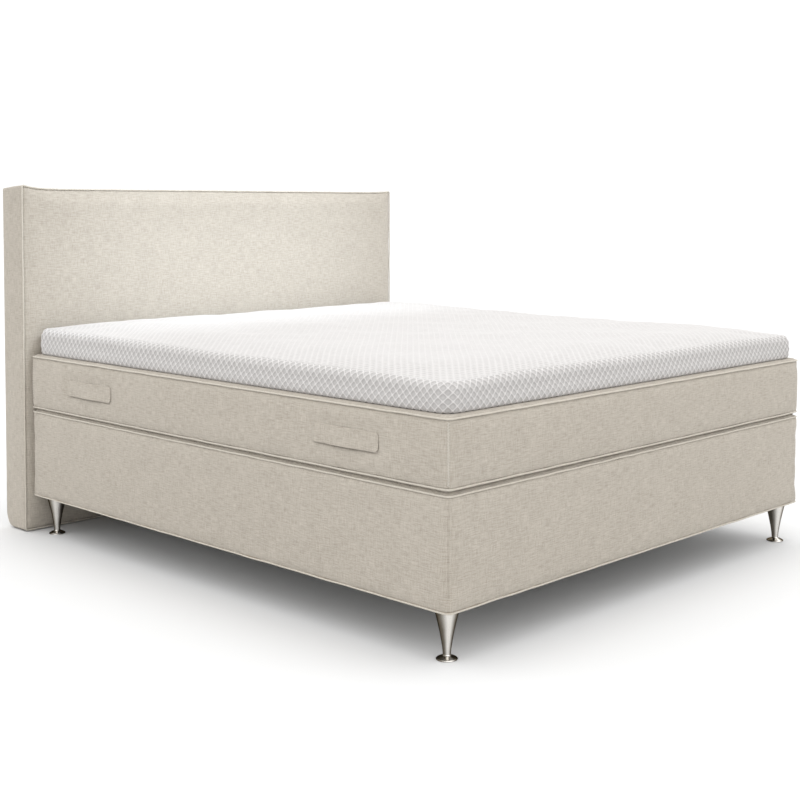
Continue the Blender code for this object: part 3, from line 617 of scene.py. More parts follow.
LINEN = woven("linen", (0.253, 0.222, 0.182), (0.568, 0.522, 0.455))
TRIM = woven("piping_linen", (0.385, 0.350, 0.292), (0.640, 0.600, 0.530), turn=math.pi / 4)
QUILT_PAINTED_SHADE = knitted("quilt_knit_painted_shade")
# The legs' metal: its dark and light tones are painted reflection
NICKEL_PAINTED_REFLECTION = satin_metal("satin_nickel_painted_reflection", (0.160, 0.140, 0.112), (0.80, 0.775, 0.73), 0.25, reflection_streaks=5.0)
STEEL = satin_metal("zinc_steel", (0.45, 0.46, 0.47), (0.60, 0.61, 0.62), 0.38)
TIMBER = timber("softwood")
FELT = nonwoven("pale_felt", (0.30, 0.295, 0.285), (0.48, 0.475, 0.46))
POCKET = nonwoven("white_pocket_cloth", (0.58, 0.58, 0.57), (0.80, 0.80, 0.79))
FOAM = foam("open_cell_foam")
THREAD = woven("thread", (0.42, 0.38, 0.32), (0.64, 0.59, 0.51), pitch=0.0004, relief=0.0001)
PALE_THREAD = woven("pale_thread", (0.70, 0.67, 0.61), (0.88, 0.86, 0.80), pitch=0.0004, relief=0.0001)


def finish_piece(piece, material, body, slot, *nodes, pad=None):
    """Material, body and the CAD nodes that the piece stands for. slot is not used."""
    piece.data.materials.clear()
    piece.data.materials.append(material)
    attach(piece, body)
    if nodes:
        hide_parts(*nodes)


# Borders and piping

bed_rim = Rim(HALF_WIDTH, HALF_LENGTH, CORNER, 0.010, 0.0016)
fine_rim = Rim(HALF_WIDTH, HALF_LENGTH, CORNER, 0.006, 0.004)


def border_moves(low, high, bulge, levels):
    """A border blown up from inside between its two seams: how far its cloth moves outwards
    at these levels."""
    coarse = np.linspace(low, high, int(round((high - low) / CLOTH_PITCH)) + 1)
    columns = int(round(bed_rim.total / CLOTH_PITCH))
    places, normals = bed_rim.at(bed_rim.total * np.arange(columns) / columns)
    level = coarse[:, None] * np.ones(columns)
    share = (level - low) / (high - low)
    xy = places + normals * (bulge * 0.5 * np.sin(math.pi * share))[:, :, None]
    points = np.insert(xy, 2, level, axis=2)
    faces = grid_faces(*level.shape, closed=True)[0]
    moves = cloth_moves(points, faces, (share <= 0) | (share >= 1), 3.0, 0.010, 0.004)
    outward, spots = wrapped((moves[:, :, :2] * normals).sum(axis=2))
    return cubic(coarse, levels) @ outward @ cubic(bed_rim.total / columns * spots, bed_rim.around[:-1]).T


def near_handles(level, margin_y, blend_y, margin_z=None):
    """1 on the border's sides where a strap handle lies, within these margins, and 0 away from it."""
    away_y = np.abs(np.abs(bed_rim.places[:, 1]) - HANDLE_Y)[None, :]
    near = np.clip((HANDLE_LENGTH / 2 + margin_y - away_y) / blend_y, 0, 1)
    if margin_z:
        away_z = np.abs(level - HANDLE_LEVEL)
        near = near * np.clip((HANDLE_HALF_WIDTH + margin_z - away_z) / margin_z, 0, 1)
    return near * np.abs(bed_rim.normals[:, 0])[None, :]


def border(name, body, seams, tucks, bulge, seed, rows):
    """The cloth round a layer of the bed. It bulges between its piped seams, is tucked in and
    rippled beside them, and drawn in at its corner seams. The mattress's lies calm behind its
    strap handles, with a crease below them, and has zigzag corner seams."""
    rim, strapped = bed_rim, name == "mattress_border"
    low, high = seams[0] + CORD + SEAM_GAP, seams[1] - CORD - SEAM_GAP
    levels = (low + high) / 2 + graded((high - low) / 2, 0.0014, (high - low) / rows)
    strap_foot = HANDLE_LEVEL - HANDLE_HALF_WIDTH
    if strapped:
        close = strap_foot + np.linspace(-0.010, 0.008, 16)
        apart = (levels < close[0] - 0.002) | (levels > close[-1] + 0.002)
        levels = np.sort(np.concatenate([levels[apart], close]))
    along, level = np.meshgrid(rim.around[:-1], levels)
    calm = crease = 0.0
    if strapped:
        calm = near_handles(level, 0.03, 0.03, 0.03)
        crease = 0.0034 * ridge(level - strap_foot + 0.0020, 0.0028) * near_handles(level, 0.004, 0.02)

    share = (level - low) / (high - low)
    end = np.minimum(level - low, high - level)
    near = np.exp(-np.maximum(end, 0) / 0.020)
    out = bulge * np.sin(math.pi * np.clip(share, 0, 1)) - crease
    out -= np.where(share < 0.5, *tucks) * (1 - np.clip(end / 0.009, 0, 1)) ** 2
    out += 0.00045 * near * waves(along, level, 0.030, seed, around=rim.total)
    slow = 0.0009 * waves(along, level * 0.6, 0.30, seed + 1, around=rim.total)
    slow += 0.0004 * waves(along, level * 0.6, 0.11, seed + 2, around=rim.total)
    out += slow * (1 - near) * (1 - calm)
    for _, gap in rim.from_corners(along):
        out += 0.0006 * ridge(gap - 0.0052, 0.0028) - 0.0016 * ridge(gap, 0.0022)
    out += border_moves(low, high, bulge, levels) * (1 - calm) * np.clip((high - level) / 0.01, 0, 1)

    out = np.vstack([out, np.full((2, out.shape[1]), -BORDER_DEPTH)])
    xy = rim.places + rim.normals * out[:, :, None] + [0, BED_Y]
    heights = np.append(levels, [levels[-1], levels[0]])[:, None]
    points = np.insert(xy, 2, np.broadcast_to(heights, out.shape), axis=2)
    v = np.append(levels, [levels[-1] + 0.005, levels[0] - 0.005])
    piece = tube_band(name + "_cloth", points, rim.around, v)
    finish_piece(piece, LINEN, body, "cover_fabric", name, pad=0.85)

    pitch, margin = 0.0036 if strapped else 0.0050, 0.006
    threads = []
    for corner in rim.corners:
        place, normal = rim.places[corner] + [0, BED_Y], rim.normals[corner]
        across = np.array([-normal[1], normal[0]])
        for number, z in enumerate(np.arange(levels[0] + margin, levels[-1] - margin, pitch)):
            foot = place + normal * (bulge * math.sin(math.pi * (z - low) / (high - low)) + 0.0001)
            hand = 0.0030 if number % 2 else -0.0030
            pairs = [((x, z), (x, z + 0.0032)) for x in (-0.0052, 0.0052)]
            for ends in [((-hand, z), (hand, z + pitch))] if strapped else pairs:
                threads.append([(*(foot + across * x), height) for x, height in ends] + [(*normal, 0.0)])
    sewn = stitches(name + "_cloth_corner_stitching", threads, radius=0.0005 if strapped else 0.0004)
    finish_piece(sewn, PALE_THREAD if strapped else THREAD, body, "piping_fabric")


def bed_piping(name, body, level, seed):
    places = fine_rim.places - fine_rim.normals * PIPING_INSET + [0, BED_Y]
    path, normals = np.insert(places, 2, level, axis=1), np.insert(fine_rim.normals, 2, 0, axis=1)
    piece = cord_round(name + "_cord", path, normals, fine_rim.around, seed)
    finish_piece(piece, TRIM, body, "piping_fabric", name)


border("base_border", "root", BASE_SEAMS, (0.0008, 0.0020), BASE_BULGE, 21, 26)
border("mattress_border", "mattress", MATTRESS_SEAMS, (0.0014, 0.0034), MATTRESS_BULGE, 31, 18)
bed_piping("base_piping_bottom", "root", BASE_SEAMS[0], 41)
bed_piping("base_piping_top", "root", BASE_SEAMS[1], 51)
bed_piping("mattress_piping_bottom", "mattress", MATTRESS_SEAMS[0], 61)
bed_piping("mattress_piping_top", "mattress", MATTRESS_SEAMS[1], 71)


# Flat panels of the bed


def bed_grid(fine, coarse):
    """A grid over the bed inside its piping, with its distances from the sides and from the
    nearest edge."""
    half_x, half_y = HALF_WIDTH - INNER_INSET, HALF_LENGTH - INNER_INSET
    x, y = np.meshgrid(graded(half_x, fine, coarse), graded(half_y, fine, coarse))
    gap_x, gap_y = half_x - np.abs(x), half_y - np.abs(y)
    x, y = round_corners(x, y, half_x, half_y, CORNER - INNER_INSET)
    return x, y, gap_x, gap_y, np.minimum(gap_x, gap_y)


def bed_panel(name, body, level, rise, seed, ripple):
    """A cloth panel sewn into the piping, over foam."""
    reach = 0.013
    x, y, gap_x, gap_y, edge = bed_grid(0.002, CLOTH_PITCH)
    lift = rise * swell(gap_x, reach) * swell(gap_y, reach)
    pull = np.exp(-edge / 0.022)
    wrinkle = 0.0004 * pull * waves(x, y, 0.028, seed)
    wrinkle += 0.5 * ripple * (1 - pull) * waves(x, y, 0.35, seed + 1)
    wrinkle = np.clip(wrinkle, -ripple, ripple) * np.clip(edge / 0.004, 0, 1)
    middle = level + lift + wrinkle * (0.5 if rise > 0 else 0.3)
    half = PANEL / 2 - 0.0002
    piece = slab(name + "_cloth", x, y + BED_Y, middle - half, middle + half)
    finish_piece(piece, LINEN, body, "cover_fabric", name + "_panel", pad=0.8)


bed_panel("base_top", "root", BASE_SEAMS[1], 0.0082, 81, 0.0003)
bed_panel("mattress_bottom", "mattress", MATTRESS_SEAMS[0], -0.0082, 85, 0.0003)
bed_panel("mattress_top", "mattress", MATTRESS_SEAMS[1], 0.0066, 89, 0.0004)


# Handles


def handle(tag, side, middle):
    """A flat doubled strap, sewn down at both ends, a little slack between."""
    half_length, half_width, thick = HANDLE_LENGTH / 2, HANDLE_HALF_WIDTH, HANDLE_THICKNESS
    free = half_length - 0.035

    def arch(s, h):
        """How far the strap stands off the border: most in its middle and at its lower edge."""
        slack = np.where(np.abs(s) < free, np.cos(math.pi * s / free / 2) ** 2, 0)
        lower = np.clip(0.5 - h / (2 * half_width), 0, 1) ** 1.5
        return 0.0012 * slack + (0.0022 + 0.0046 * slack) * lower

    def place(points):
        s, h, out = points.T
        return np.column_stack([side * out, side * s + middle + BED_Y, h + HANDLE_LEVEL])

    s, h = np.meshgrid(graded(half_length, 0.0012, 0.005), graded(half_width, 0.0010, 0.0045))
    s, h = round_corners(s, h, half_length, half_width, 0.013)
    share = (h + HANDLE_LEVEL - MATTRESS_SEAMS[0]) / (MATTRESS_SEAMS[1] - MATTRESS_SEAMS[0])
    seat = HALF_WIDTH + MATTRESS_BULGE * np.sin(math.pi * share) + 0.0003 + arch(s, h)
    edge = np.minimum(half_length - np.abs(s), half_width - np.abs(h))
    high = np.clip(0.5 + h / (2 * half_width), 0, 1)
    puff = thick * (0.55 - 0.40 * high + (0.45 + 0.40 * high) * swell(edge, 0.004 + 0.008 * high, 2.5))
    groove = 0.0005 * ridge(edge - 0.0055, 0.0010)
    cross = 0.0007 * ridge(np.abs(s) - free, 0.0011) * (edge > 0.004)
    ripple = 0.00025 * waves(s, h, 0.02, 17 + int(middle > 0)) * swell(edge, 0.004)
    top = seat + puff - groove - cross + ripple
    piece = slab("strap_handle_" + tag, s, h, seat + 0.0002, top, place=place)
    finish_piece(piece, LINEN, "mattress", "cover_fabric", "mattress_handle_" + tag, pad=0.3)

    inset, pitch, run = 0.0055, 0.0042, 0.0030
    runs = []
    for h0 in (inset - half_width, half_width - inset):
        for s0 in np.arange(inset - half_length, half_length - inset - run, pitch):
            runs.append(((s0, h0), (s0 + run, h0)))
    for s0 in (inset - half_length, -free, free, half_length - inset):
        for h0 in np.arange(inset - half_width, half_width - inset - run, pitch):
            runs.append(((s0, h0), (s0, h0 + run)))
    threads = []
    for ends in runs:
        out = HALF_WIDTH + MATTRESS_BULGE + thick * 0.93 + 0.00015 + arch(*ends[0])
        spots = [(side * out, s0 + middle + BED_Y, h0 + HANDLE_LEVEL) for s0, h0 in ends]
        threads.append(spots + [(side, 0.0, 0.0)])
    sewn = stitches("strap_handle_" + tag + "_stitching", threads, radius=0.00035, rise=0.0003)
    finish_piece(sewn, THREAD, "mattress", "piping_fabric")


for hand, hand_name in ((-1, "left"), (1, "right")):
    for end_name, middle_y in (("foot", -HANDLE_Y), ("head", HANDLE_Y)):
        handle(hand_name + "_" + end_name, hand, middle_y)


# Headboard


def head_top(x, inset, ear=1.0):
    """Level of the headboard's top edge, which is pulled up to an ear at each corner."""
    side = HEAD_HALF_WIDTH - inset - max(HEAD_CORNER - inset, HEAD_CORNER / 3)
    share = np.clip((side - np.abs(x)) / EAR_LENGTH, 0, 1)
    return HEAD_TOP - inset + np.where(np.asarray(x) < 0, *EAR_RISE) * ear * (1 - share) ** 6


def head_outline(inset, lift=0.0, ear=1.0):
    """The headboard's outline from the front, from the middle of its foot: points, outward
    directions and the distances round it."""
    radius = max(HEAD_CORNER - inset, HEAD_CORNER / 3)
    side = HEAD_HALF_WIDTH - inset - radius
    low = HEAD_LOW + inset + lift + radius
    turn = np.linspace(0, math.pi / 2, 9)

    def half(hand, rise):
        high = HEAD_TOP + rise * ear - inset - radius
        dense = side - 0.06
        xs = np.concatenate([np.linspace(side, dense, 24)[1:-1], np.linspace(dense, 0, 80)[:-1]])
        points = [(x, low - radius) for x in np.linspace(0, side, 76)[:-1]]
        points += [(side + radius * math.sin(a), low - radius * math.cos(a)) for a in turn]
        points += [(side + radius, z) for z in np.linspace(low, high, 102)[1:-1]]
        points += [(side + radius * math.cos(a), high + radius * math.sin(a)) for a in turn]
        points += [(x, float(head_top(hand * x, inset, ear))) for x in xs]
        return np.array(points) * [hand, 1]

    right, left = half(1, EAR_RISE[1]), half(-1, EAR_RISE[0])[1:][::-1]
    path = np.concatenate([right, [(0.0, float(head_top(0.0, inset, ear)))], left])
    tangent = unit(np.roll(path, -1, axis=0) - np.roll(path, 1, axis=0))
    return path, tangent[:, ::-1] * [1, -1], distances_round(path)


def head_halves(low):
    """Half the width and half the height of a face of the headboard that starts at this level."""
    return HEAD_HALF_WIDTH - INNER_INSET, (HEAD_TOP - INNER_INSET - low) / 2


def head_face(across, up, low, ear=1.0):
    """A grid over a face of the headboard, with its gaps to the sides, the foot and the top, and
    to the nearest of them."""
    half_x, half_z = head_halves(low)
    x, t = np.meshgrid(across, up)
    gaps = half_x - np.abs(x), t + half_z, half_z - t
    x, t = round_corners(x, t, half_x, half_z, HEAD_CORNER - INNER_INSET)
    z = low + (t + half_z) / (2 * half_z) * (head_top(x, INNER_INSET, ear) - low)
    return x, z, gaps, np.minimum.reduce(gaps)


def upright(flat, y):
    """Points of the frame, from points across and up at this depth or these depths."""
    return np.insert(flat[:, :2], 1, y, axis=1)


def head_panel():
    """The padded front: crowned cloth, pulled in to the piping all round."""
    low = HEAD_LOW + INNER_INSET
    half_x, half_z = head_halves(low)

    def shape(across, up):
        x, z, gaps, edge = head_face(across, up, low)
        crown = HEAD_CROWN
        for gap, reach, power in zip(gaps, (0.110, 0.105, 0.085), (2.6, 2.6, 3.6)):
            crown = crown * swell(gap, reach, power)
        return x, z, crown, edge

    cut_share = 0.8
    coarse_x, coarse_t = np.linspace(-half_x, half_x, 121), np.linspace(-half_z, half_z, 81)
    x, z, crown, edge = shape(coarse_x, coarse_t)
    points = np.stack([x, HEAD_SEAM_Y - crown * cut_share, z], axis=2)
    moves = cloth_moves(points, grid_faces(*x.shape)[0], edge <= 0, 4.0, 0.006, 0.006)
    across, up = graded(half_x, 0.0016, 0.011), graded(half_z, 0.0016, 0.011)
    puffed = cubic(coarse_t, up) @ -moves[:, :, 1] @ cubic(coarse_x, across).T
    x, z, crown, edge = shape(across, up)
    crown = crown * cut_share + puffed
    near = np.exp(-edge / 0.028)
    pucker = 0.0008 * near * waves(x, z, 0.045, 101) * swell(edge, 0.006)
    slow = 0.0011 * waves(x, z, 0.42, 102) + 0.0005 * waves(x, z, 0.15, 103)
    free = np.clip((z - 0.72) / 0.08, 0, 1)
    front = crown + pucker + slow * (1 - near) * free - 0.0012 * (1 - free) * (1 - near)
    front = np.minimum(front, HEAD_CROWN) - 0.0030 * ridge(edge, 0.004)
    piece = slab(
        "headboard_front_cloth", x, z, front - PANEL / 2, front + PANEL / 2 - 0.0003,
        place=lambda points: upright(points, HEAD_SEAM_Y - points[:, 2]),
    )
    finish_piece(piece, LINEN, "root", "cover_fabric", "headboard_front_panel", pad=0.8)


def head_boxing():
    """Cloth round the headboard's edge, from the piping to the back, where it folds over."""
    front = HEAD_SEAM_Y + CORD + SEAM_GAP
    back_lift = HEEL[-1][1]
    depths = []
    for depth in (0, 0.0015, 0.003, 0.005, 0.0075, 0.011):
        depths.append((front + depth, 0.0, -0.0034 * (1 - min(depth / 0.010, 1)) ** 2))
    depths += [(y, 0.0, 0.0) for y in np.linspace(front + 0.018, HEEL[0][0], 10)[:-1]]
    depths += [(y, lift, 0.0) for y, lift in HEEL]
    around = head_outline(0.0)[2]
    along, total, rows = around[:-1], around[-1], []

    def add_row(y, lift, ear, out):
        path, normals, _ = head_outline(0.0, lift, ear)
        rows.append(upright(path + normals * np.reshape(out, (-1, 1)), y))

    for number, (y, lift, roll) in enumerate(depths):
        share = (y - front) / (HEAD_BACK_Y - front)
        soft = math.sin(math.pi * min(share, 1))
        ripple = 0.0004 * math.exp(-(y - front) / 0.02) * waves(along, y, 0.035, 111, around=total)
        ripple += 0.0006 * soft * waves(along, y, 0.22, 112, around=total)
        add_row(y, lift, 1 - (1 - BACK_EAR_SHARE) * share, roll + 0.0011 * soft + ripple * min(number, 1))
    add_row(HEAD_BACK_Y, back_lift, BACK_EAR_SHARE, -0.0012)
    add_row(HEAD_BACK_Y, back_lift, BACK_EAR_SHARE, -0.0050)
    add_row(front, 0.0, 1.0, -0.0050)
    v = np.append([y - front for y, _, _ in depths], HEAD_BACK_Y - front + 0.005 * np.arange(1, 4))
    piece = tube_band("headboard_boxing_cloth", np.array(rows), around, v)
    finish_piece(piece, LINEN, "root", "cover_fabric", "headboard_boxing", pad=0.8)


def head_piping():
    path, normals, around = head_outline(PIPING_INSET)
    path, normals = upright(path, HEAD_SEAM_Y), upright(normals, 0)
    piece = cord_round("headboard_piping_cord", path, normals, around, 121, up=(0, 1, 0))
    finish_piece(piece, TRIM, "root", "piping_fabric", "headboard_piping")


def head_back():
    """Dust lining stapled over the back."""
    low = HEAD_LOW + INNER_INSET + HEEL[-1][1]
    half_x, half_z = head_halves(low)
    across, up = graded(half_x, 0.003, 0.02), graded(half_z, 0.003, 0.02)
    x, z, _, edge = head_face(across, up, low, BACK_EAR_SHARE)
    sag = 0.0004 * waves(x, z, 0.25, 131) * swell(edge, 0.05) - 0.0002
    piece = slab(
        "headboard_back_cloth", -x, z, sag - 0.0010, sag,
        place=lambda points: upright(points * [-1, 1, 1], HEAD_BACK_Y + points[:, 2]),
    )
    finish_piece(piece, FELT, "root", "felt", "headboard_back_lining")
    margin, pitch, crown, y = 0.012, 0.045, 0.010, HEAD_BACK_Y + 0.0001
    staples = []
    for x0 in np.arange(-half_x + 0.03, half_x - 0.03, pitch):
        for z0 in (low + margin, float(head_top(x0, INNER_INSET, BACK_EAR_SHARE)) - margin):
            staples.append(((x0, y, z0), (x0 + crown, y, z0), (0, 1, 0)))
    for z0 in np.arange(low + 0.04, HEAD_TOP - 0.05, pitch):
        for x0 in (-half_x + margin, half_x - margin):
            staples.append(((x0, y, z0), (x0, y, z0 + crown), (0, 1, 0)))
    pins = stitches("headboard_back_staples", staples, radius=0.0005, rise=0.0002)
    finish_piece(pins, STEEL, "root", "steel")


head_panel()
head_boxing()
head_piping()
head_back()


# Topper


def cell(u, v):
    """How far each diamond of the quilting sinks, from 0 along the raised net between them to 1
    in its middle."""
    rise = 1.0
    for turn in (1, -1):
        across = u / DIAMOND[0] + turn * v / DIAMOND[1]
        off = 2 * np.abs(across - np.round(across))
        rise = rise * (1 - (1 - off) ** 3.2)
    return rise


def topper_profile(count):
    """Inset and level up the side and over the top edge, evenly spaced, and the distance run."""
    low, bend, tuck, belly = TOPPER_LOW, TOPPER_BEND, 0.010, 0.0020
    last = math.pi / 2 - 2 * TOPPER_CROWN / TOPPER_REACH
    centre = TOPPER_EDGE - TOPPER_RADIUS
    points = []
    for angle in np.linspace(0, math.pi / 2, 30):
        points.append((tuck * (1 - math.sin(angle)), low + bend * (1 - math.cos(angle))))
    for z in np.linspace(low + bend, centre, 40)[1:-1]:
        points.append((-belly * math.sin(math.pi * (z - low - bend) / (centre - low - bend)), z))
    for angle in np.linspace(0, last, 60):
        points.append((TOPPER_RADIUS * (1 - math.cos(angle)), centre + TOPPER_RADIUS * math.sin(angle)))
    run = distances(points)
    even = np.linspace(0, run[-1], int(round(run[-1] / DIAMOND[1])) * count + 1)
    return np.column_stack([np.interp(even, run, line) for line in zip(*points)]), even


def head_rise(y):
    """The topper is a little fuller towards its head end."""
    share = np.clip((y + 0.4) / 1.3, 0, 1)
    return 0.008 * share * share * (3 - 2 * share)


def split(detail, faces, row, column):
    """Triangles from quads, with their rows and columns. Each quad is cut along the sewn diagonal
    that crosses it."""
    along = ((row[:, 0] - column[:, 0]) % detail == 0)[:, None]
    for one, other in (([0, 1, 2], [0, 1, 3]), ([0, 2, 3], [1, 2, 3])):
        pick = np.where(along, one, other)
        yield [np.take_along_axis(values, pick, axis=1) for values in (faces, row, column)]


def topper_side(detail, relief):
    """The topper's side and rounded edge as a grid of points, with this many steps to a diamond,
    how far each point has sunk, and the texture places of columns and rows."""
    rim = Rim(*TOPPER_HALF, TOPPER_CORNER, 0.004, 0.002)
    periods = int(round(rim.total / DIAMOND[0]))
    even = rim.total * np.arange(periods * detail) / (periods * detail)
    places, normals = rim.at(even)
    profile, run = topper_profile(detail)
    inset, level = profile.T
    tangent = unit(np.gradient(profile, axis=0))
    u = np.arange(periods * detail) * DIAMOND[0] / detail
    rise = cell(*np.meshgrid(u, np.arange(len(run)) * DIAMOND[1] / detail))
    droop, seam = np.zeros(len(even)), np.zeros(len(even))
    for index, gap in rim.from_corners(even):
        droop += ridge(gap, SAG_REACH) * (1.0 if rim.places[index, 1] < 0 else HEAD_SAG_SHARE)
        seam += ridge(gap, 0.004)
    push = 0.0016 * waves(even[None, :], run[:, None] * 1.5, 0.35, 201, around=rim.total)
    push = push * np.sin(math.pi * np.clip(run / run[-1] * 1.05, 0, 1))[:, None]
    if relief:
        ease = np.clip((run[-1] - run) / 0.006, 0, 1)[:, None] * np.clip(run / 0.006, 0, 1)[:, None]
        calm = 1 - 0.45 * np.clip(1 - run / 0.045, 0, 1)[:, None]
        push = push - PUFF * calm * (rise - LEVEL_SHARE) * ease - 0.0012 * seam[None, :] * ease
    share = ((level - TOPPER_LOW) / (TOPPER_EDGE - TOPPER_LOW))[:, None]
    drop = (TOPPER_SAG * droop - head_rise(places[:, 1]))[None, :] * share**1.5
    offset = push * tangent[:, 1:2] - inset[:, None]
    z = level[:, None] + push * tangent[:, 0:1] - drop
    side = np.insert(places + normals * offset[:, :, None], 2, z, axis=2)
    return side, rise, np.append(u, periods * DIAMOND[0]), run


def topper_top(detail, relief):
    """The topper's top inside its rounded edge as a grid of points, and how far each has sunk."""
    profile, _ = topper_profile(detail)
    inset, level = profile[-1]
    half_x, half_y = TOPPER_HALF[0] - inset, TOPPER_HALF[1] - inset
    nx = int(round(2 * half_x / DIAMOND[0])) * detail
    ny = int(round(2 * half_y / DIAMOND[1])) * detail
    i, j = np.meshgrid(np.arange(nx + 1), np.arange(ny + 1))
    x, y = (i / nx - 0.5) * 2 * half_x, (j / ny - 0.5) * 2 * half_y
    gap_x, gap_y = half_x - np.abs(x), half_y - np.abs(y)
    edge = np.minimum(gap_x, gap_y)
    rise = cell(i * DIAMOND[0] / detail, j * DIAMOND[1] / detail)
    x, y = round_corners(x, y, half_x, half_y, TOPPER_CORNER - inset)
    sag = TOPPER_SAG * ridge(np.hypot(gap_x, gap_y), SAG_REACH) * np.where(y < 0, 1.0, HEAD_SAG_SHARE)
    crown = TOPPER_CROWN * swell(gap_x, TOPPER_REACH) * swell(gap_y, TOPPER_REACH)
    soft = 0.0012 * waves(x, y, 0.45, 211) + 0.0006 * waves(x, y, 0.18, 212)
    height = level + crown - sag + head_rise(y) + soft * swell(edge, 0.12)
    if relief:
        height = height - PUFF * 0.6 * (rise - LEVEL_SHARE) * np.clip(edge / 0.008, 0, 1)
    return np.stack([x, y, height], axis=2), rise


def zip_up(points, *loops):
    """Triangles between two closed rows with different counts, paired by their direction from
    the middle."""
    half = np.abs(points[loops[0]][:, :2]).max(axis=0)
    rows, turns = [], []
    for loop in loops:
        angle = np.arctan2(points[loop][:, 1] / half[1], points[loop][:, 0] / half[0])
        order = np.argsort(angle)
        rows.append(loop[order])
        turns.append(np.append(angle[order][1:], angle[order][0] + 2 * math.pi))
    first = np.argsort(np.concatenate(turns), kind="stable") < len(rows[0])
    now, after = [], []
    for row, moves in zip(rows, (first, ~first)):
        place = np.cumsum(moves) - moves
        now.append(row[place % len(row)])
        after.append(row[(place + 1) % len(row)])
    return np.stack([now[0], np.where(first, *after), now[1]], axis=1)


def last_row(grid):
    """The point numbers of a grid's last row."""
    rows, columns = grid.shape[:2]
    return (rows - 1) * columns + np.arange(columns)


def topper_moves():
    """The cover blown up from inside, in coarse steps: how far its side and top move."""
    side, top = topper_side(1, False)[0], topper_top(1, False)[0]
    offset = side.shape[0] * side.shape[1]
    points = np.concatenate([side.reshape(-1, 3), top.reshape(-1, 3)])
    side_faces = grid_faces(*side.shape[:2], closed=True)[0]
    top_faces = grid_faces(*top.shape[:2])[0] + offset
    zips = zip_up(points, last_row(side), edge_loop(*top.shape[:2], offset))
    faces = [*side_faces.tolist(), *top_faces.tolist(), *zips.tolist()]
    pinned = np.arange(len(points)) < 2 * side.shape[1]
    moves = cloth_moves(points, faces, pinned, 1.5, 0.004, 0.006)
    corner = np.hypot(TOPPER_HALF[0] - np.abs(points[:, 0]), TOPPER_HALF[1] - np.abs(points[:, 1]))
    moves *= 1 - 0.9 * ridge(corner, 0.14)[:, None]
    return moves[:offset].reshape(side.shape), moves[offset:].reshape(top.shape)


def topper():
    detail, top_detail = 8, 4
    side, rise, u, run = topper_side(detail, True)
    top, top_rise = topper_top(top_detail, True)
    rows, columns = side.shape[:2]
    side_moves, top_moves = topper_moves()
    side_moves, spots = wrapped(side_moves)
    by_row = cubic(np.arange(side_moves.shape[0]), np.arange(rows) / detail)
    by_column = cubic(spots, np.arange(columns) / detail)
    top_by_row = cubic(np.arange(top_moves.shape[0]), np.arange(top.shape[0]) / top_detail)
    top_by_column = cubic(np.arange(top_moves.shape[1]), np.arange(top.shape[1]) / top_detail)
    for axis in range(3):
        side[:, :, axis] += by_row @ side_moves[:, :, axis] @ by_column.T
        top[:, :, axis] += top_by_row @ top_moves[:, :, axis] @ top_by_column.T

    # The underside: a narrow ring inside the lowest row, and a fan from the middle
    low = side[0, :, :2]
    inward = low * (1 - 0.05 / np.linalg.norm(low, axis=1, keepdims=True))
    under = np.insert(np.append(inward, [[0, 0]], axis=0), 2, TOPPER_LOW + 0.0005, axis=1)
    every = np.concatenate([side.reshape(-1, 3), top.reshape(-1, 3), under])
    offset, start = rows * columns, rows * columns + top_rise.size
    c = np.arange(columns)
    n = (c + 1) % columns
    ring = np.stack([n, c, start + c, start + n], axis=1)
    fan = np.stack([start + n, start + c, np.full(columns, start + columns)], axis=1)

    zips = zip_up(every, last_row(side), edge_loop(*top.shape[:2], offset))
    side_parts = list(split(detail, *grid_faces(rows, columns, closed=True)))
    top_parts = [points + offset for points, _, _ in split(top_detail, *grid_faces(*top.shape[:2]))]
    faces = [points for points, _, _ in side_parts]
    uvs = [np.stack([u[column], run[row]], axis=2) for _, row, column in side_parts]
    for points in (*top_parts, zips, ring, fan):
        faces.append(points)
        uvs.append(every[points][:, :, :2])
    every[:, 1] += BED_Y
    piece = mesh_object("topper_quilt", every, faces, uvs)
    # puff values pick the quilt's painted light and shade: the rise on the side, a lighter and narrower range
    # on the top for less painted contrast there, and painted hollow shade underneath
    values = np.ones(len(every), np.float32)
    values[:offset] = rise.ravel()
    values[offset : offset + top_rise.size] = 0.26 + 0.21 * top_rise.ravel()
    piece.data.attributes.new("puff", "FLOAT", "POINT").data.foreach_set("value", values)
    finish_piece(
        piece, QUILT_PAINTED_SHADE, "topper", "quilt_fabric", "topper_cover", "topper_base_panel", "topper_core", pad=0.7
    )


topper()


# Legs and underside


def leg_profile():
    """Trumpet with a small seating rim, a slim neck and a flared foot."""
    rim, flare, chamfer = 0.003, 0.011, 0.0014
    top, radius, foot, neck = LEG_TOP, LEG_RADIUS, FOOT_RADIUS, NECK_RADIUS
    profile = [(0.005, top), (radius - 0.0012, top), (radius - 0.0003, top - 0.0004), (radius, top - chamfer)]
    for share in np.linspace(0, 1, 40)[1:]:
        drop = (rim + flare - top + chamfer) * share
        profile.append((neck + (radius - neck) * (1 - share) ** 1.35, top - chamfer + drop))
    for share in np.linspace(0, 1, 28)[1:]:
        out = 1 - math.cos(math.pi / 2 * share) if share < 0.4 else 0.191 + 0.809 * (share - 0.4) / 0.6
        bell = (1 - share) ** 0.8 * (1 - 0.35 * share * (1 - share))
        profile.append((neck + (foot - 0.0006 - neck) * out, rim + flare * bell))
    profile += [(foot - 0.0001, rim - 0.0006), (foot, rim - chamfer)]
    profile += [(foot - 0.0003, 0.0008), (foot - 0.0012, 0.0002), (foot - 0.003, 0.0), (0.004, 0.0)]
    return profile


for tag in ("foot_left", "foot_right", "head_left", "head_right"):
    place = (extent("leg_" + tag, 0)[0], extent("leg_" + tag, 1)[0], 0.0)
    leg = turned("turned_leg_" + tag, leg_profile(), place)
    finish_piece(leg, NICKEL_PAINTED_REFLECTION, "root", "leg_nickel", "leg_" + tag)


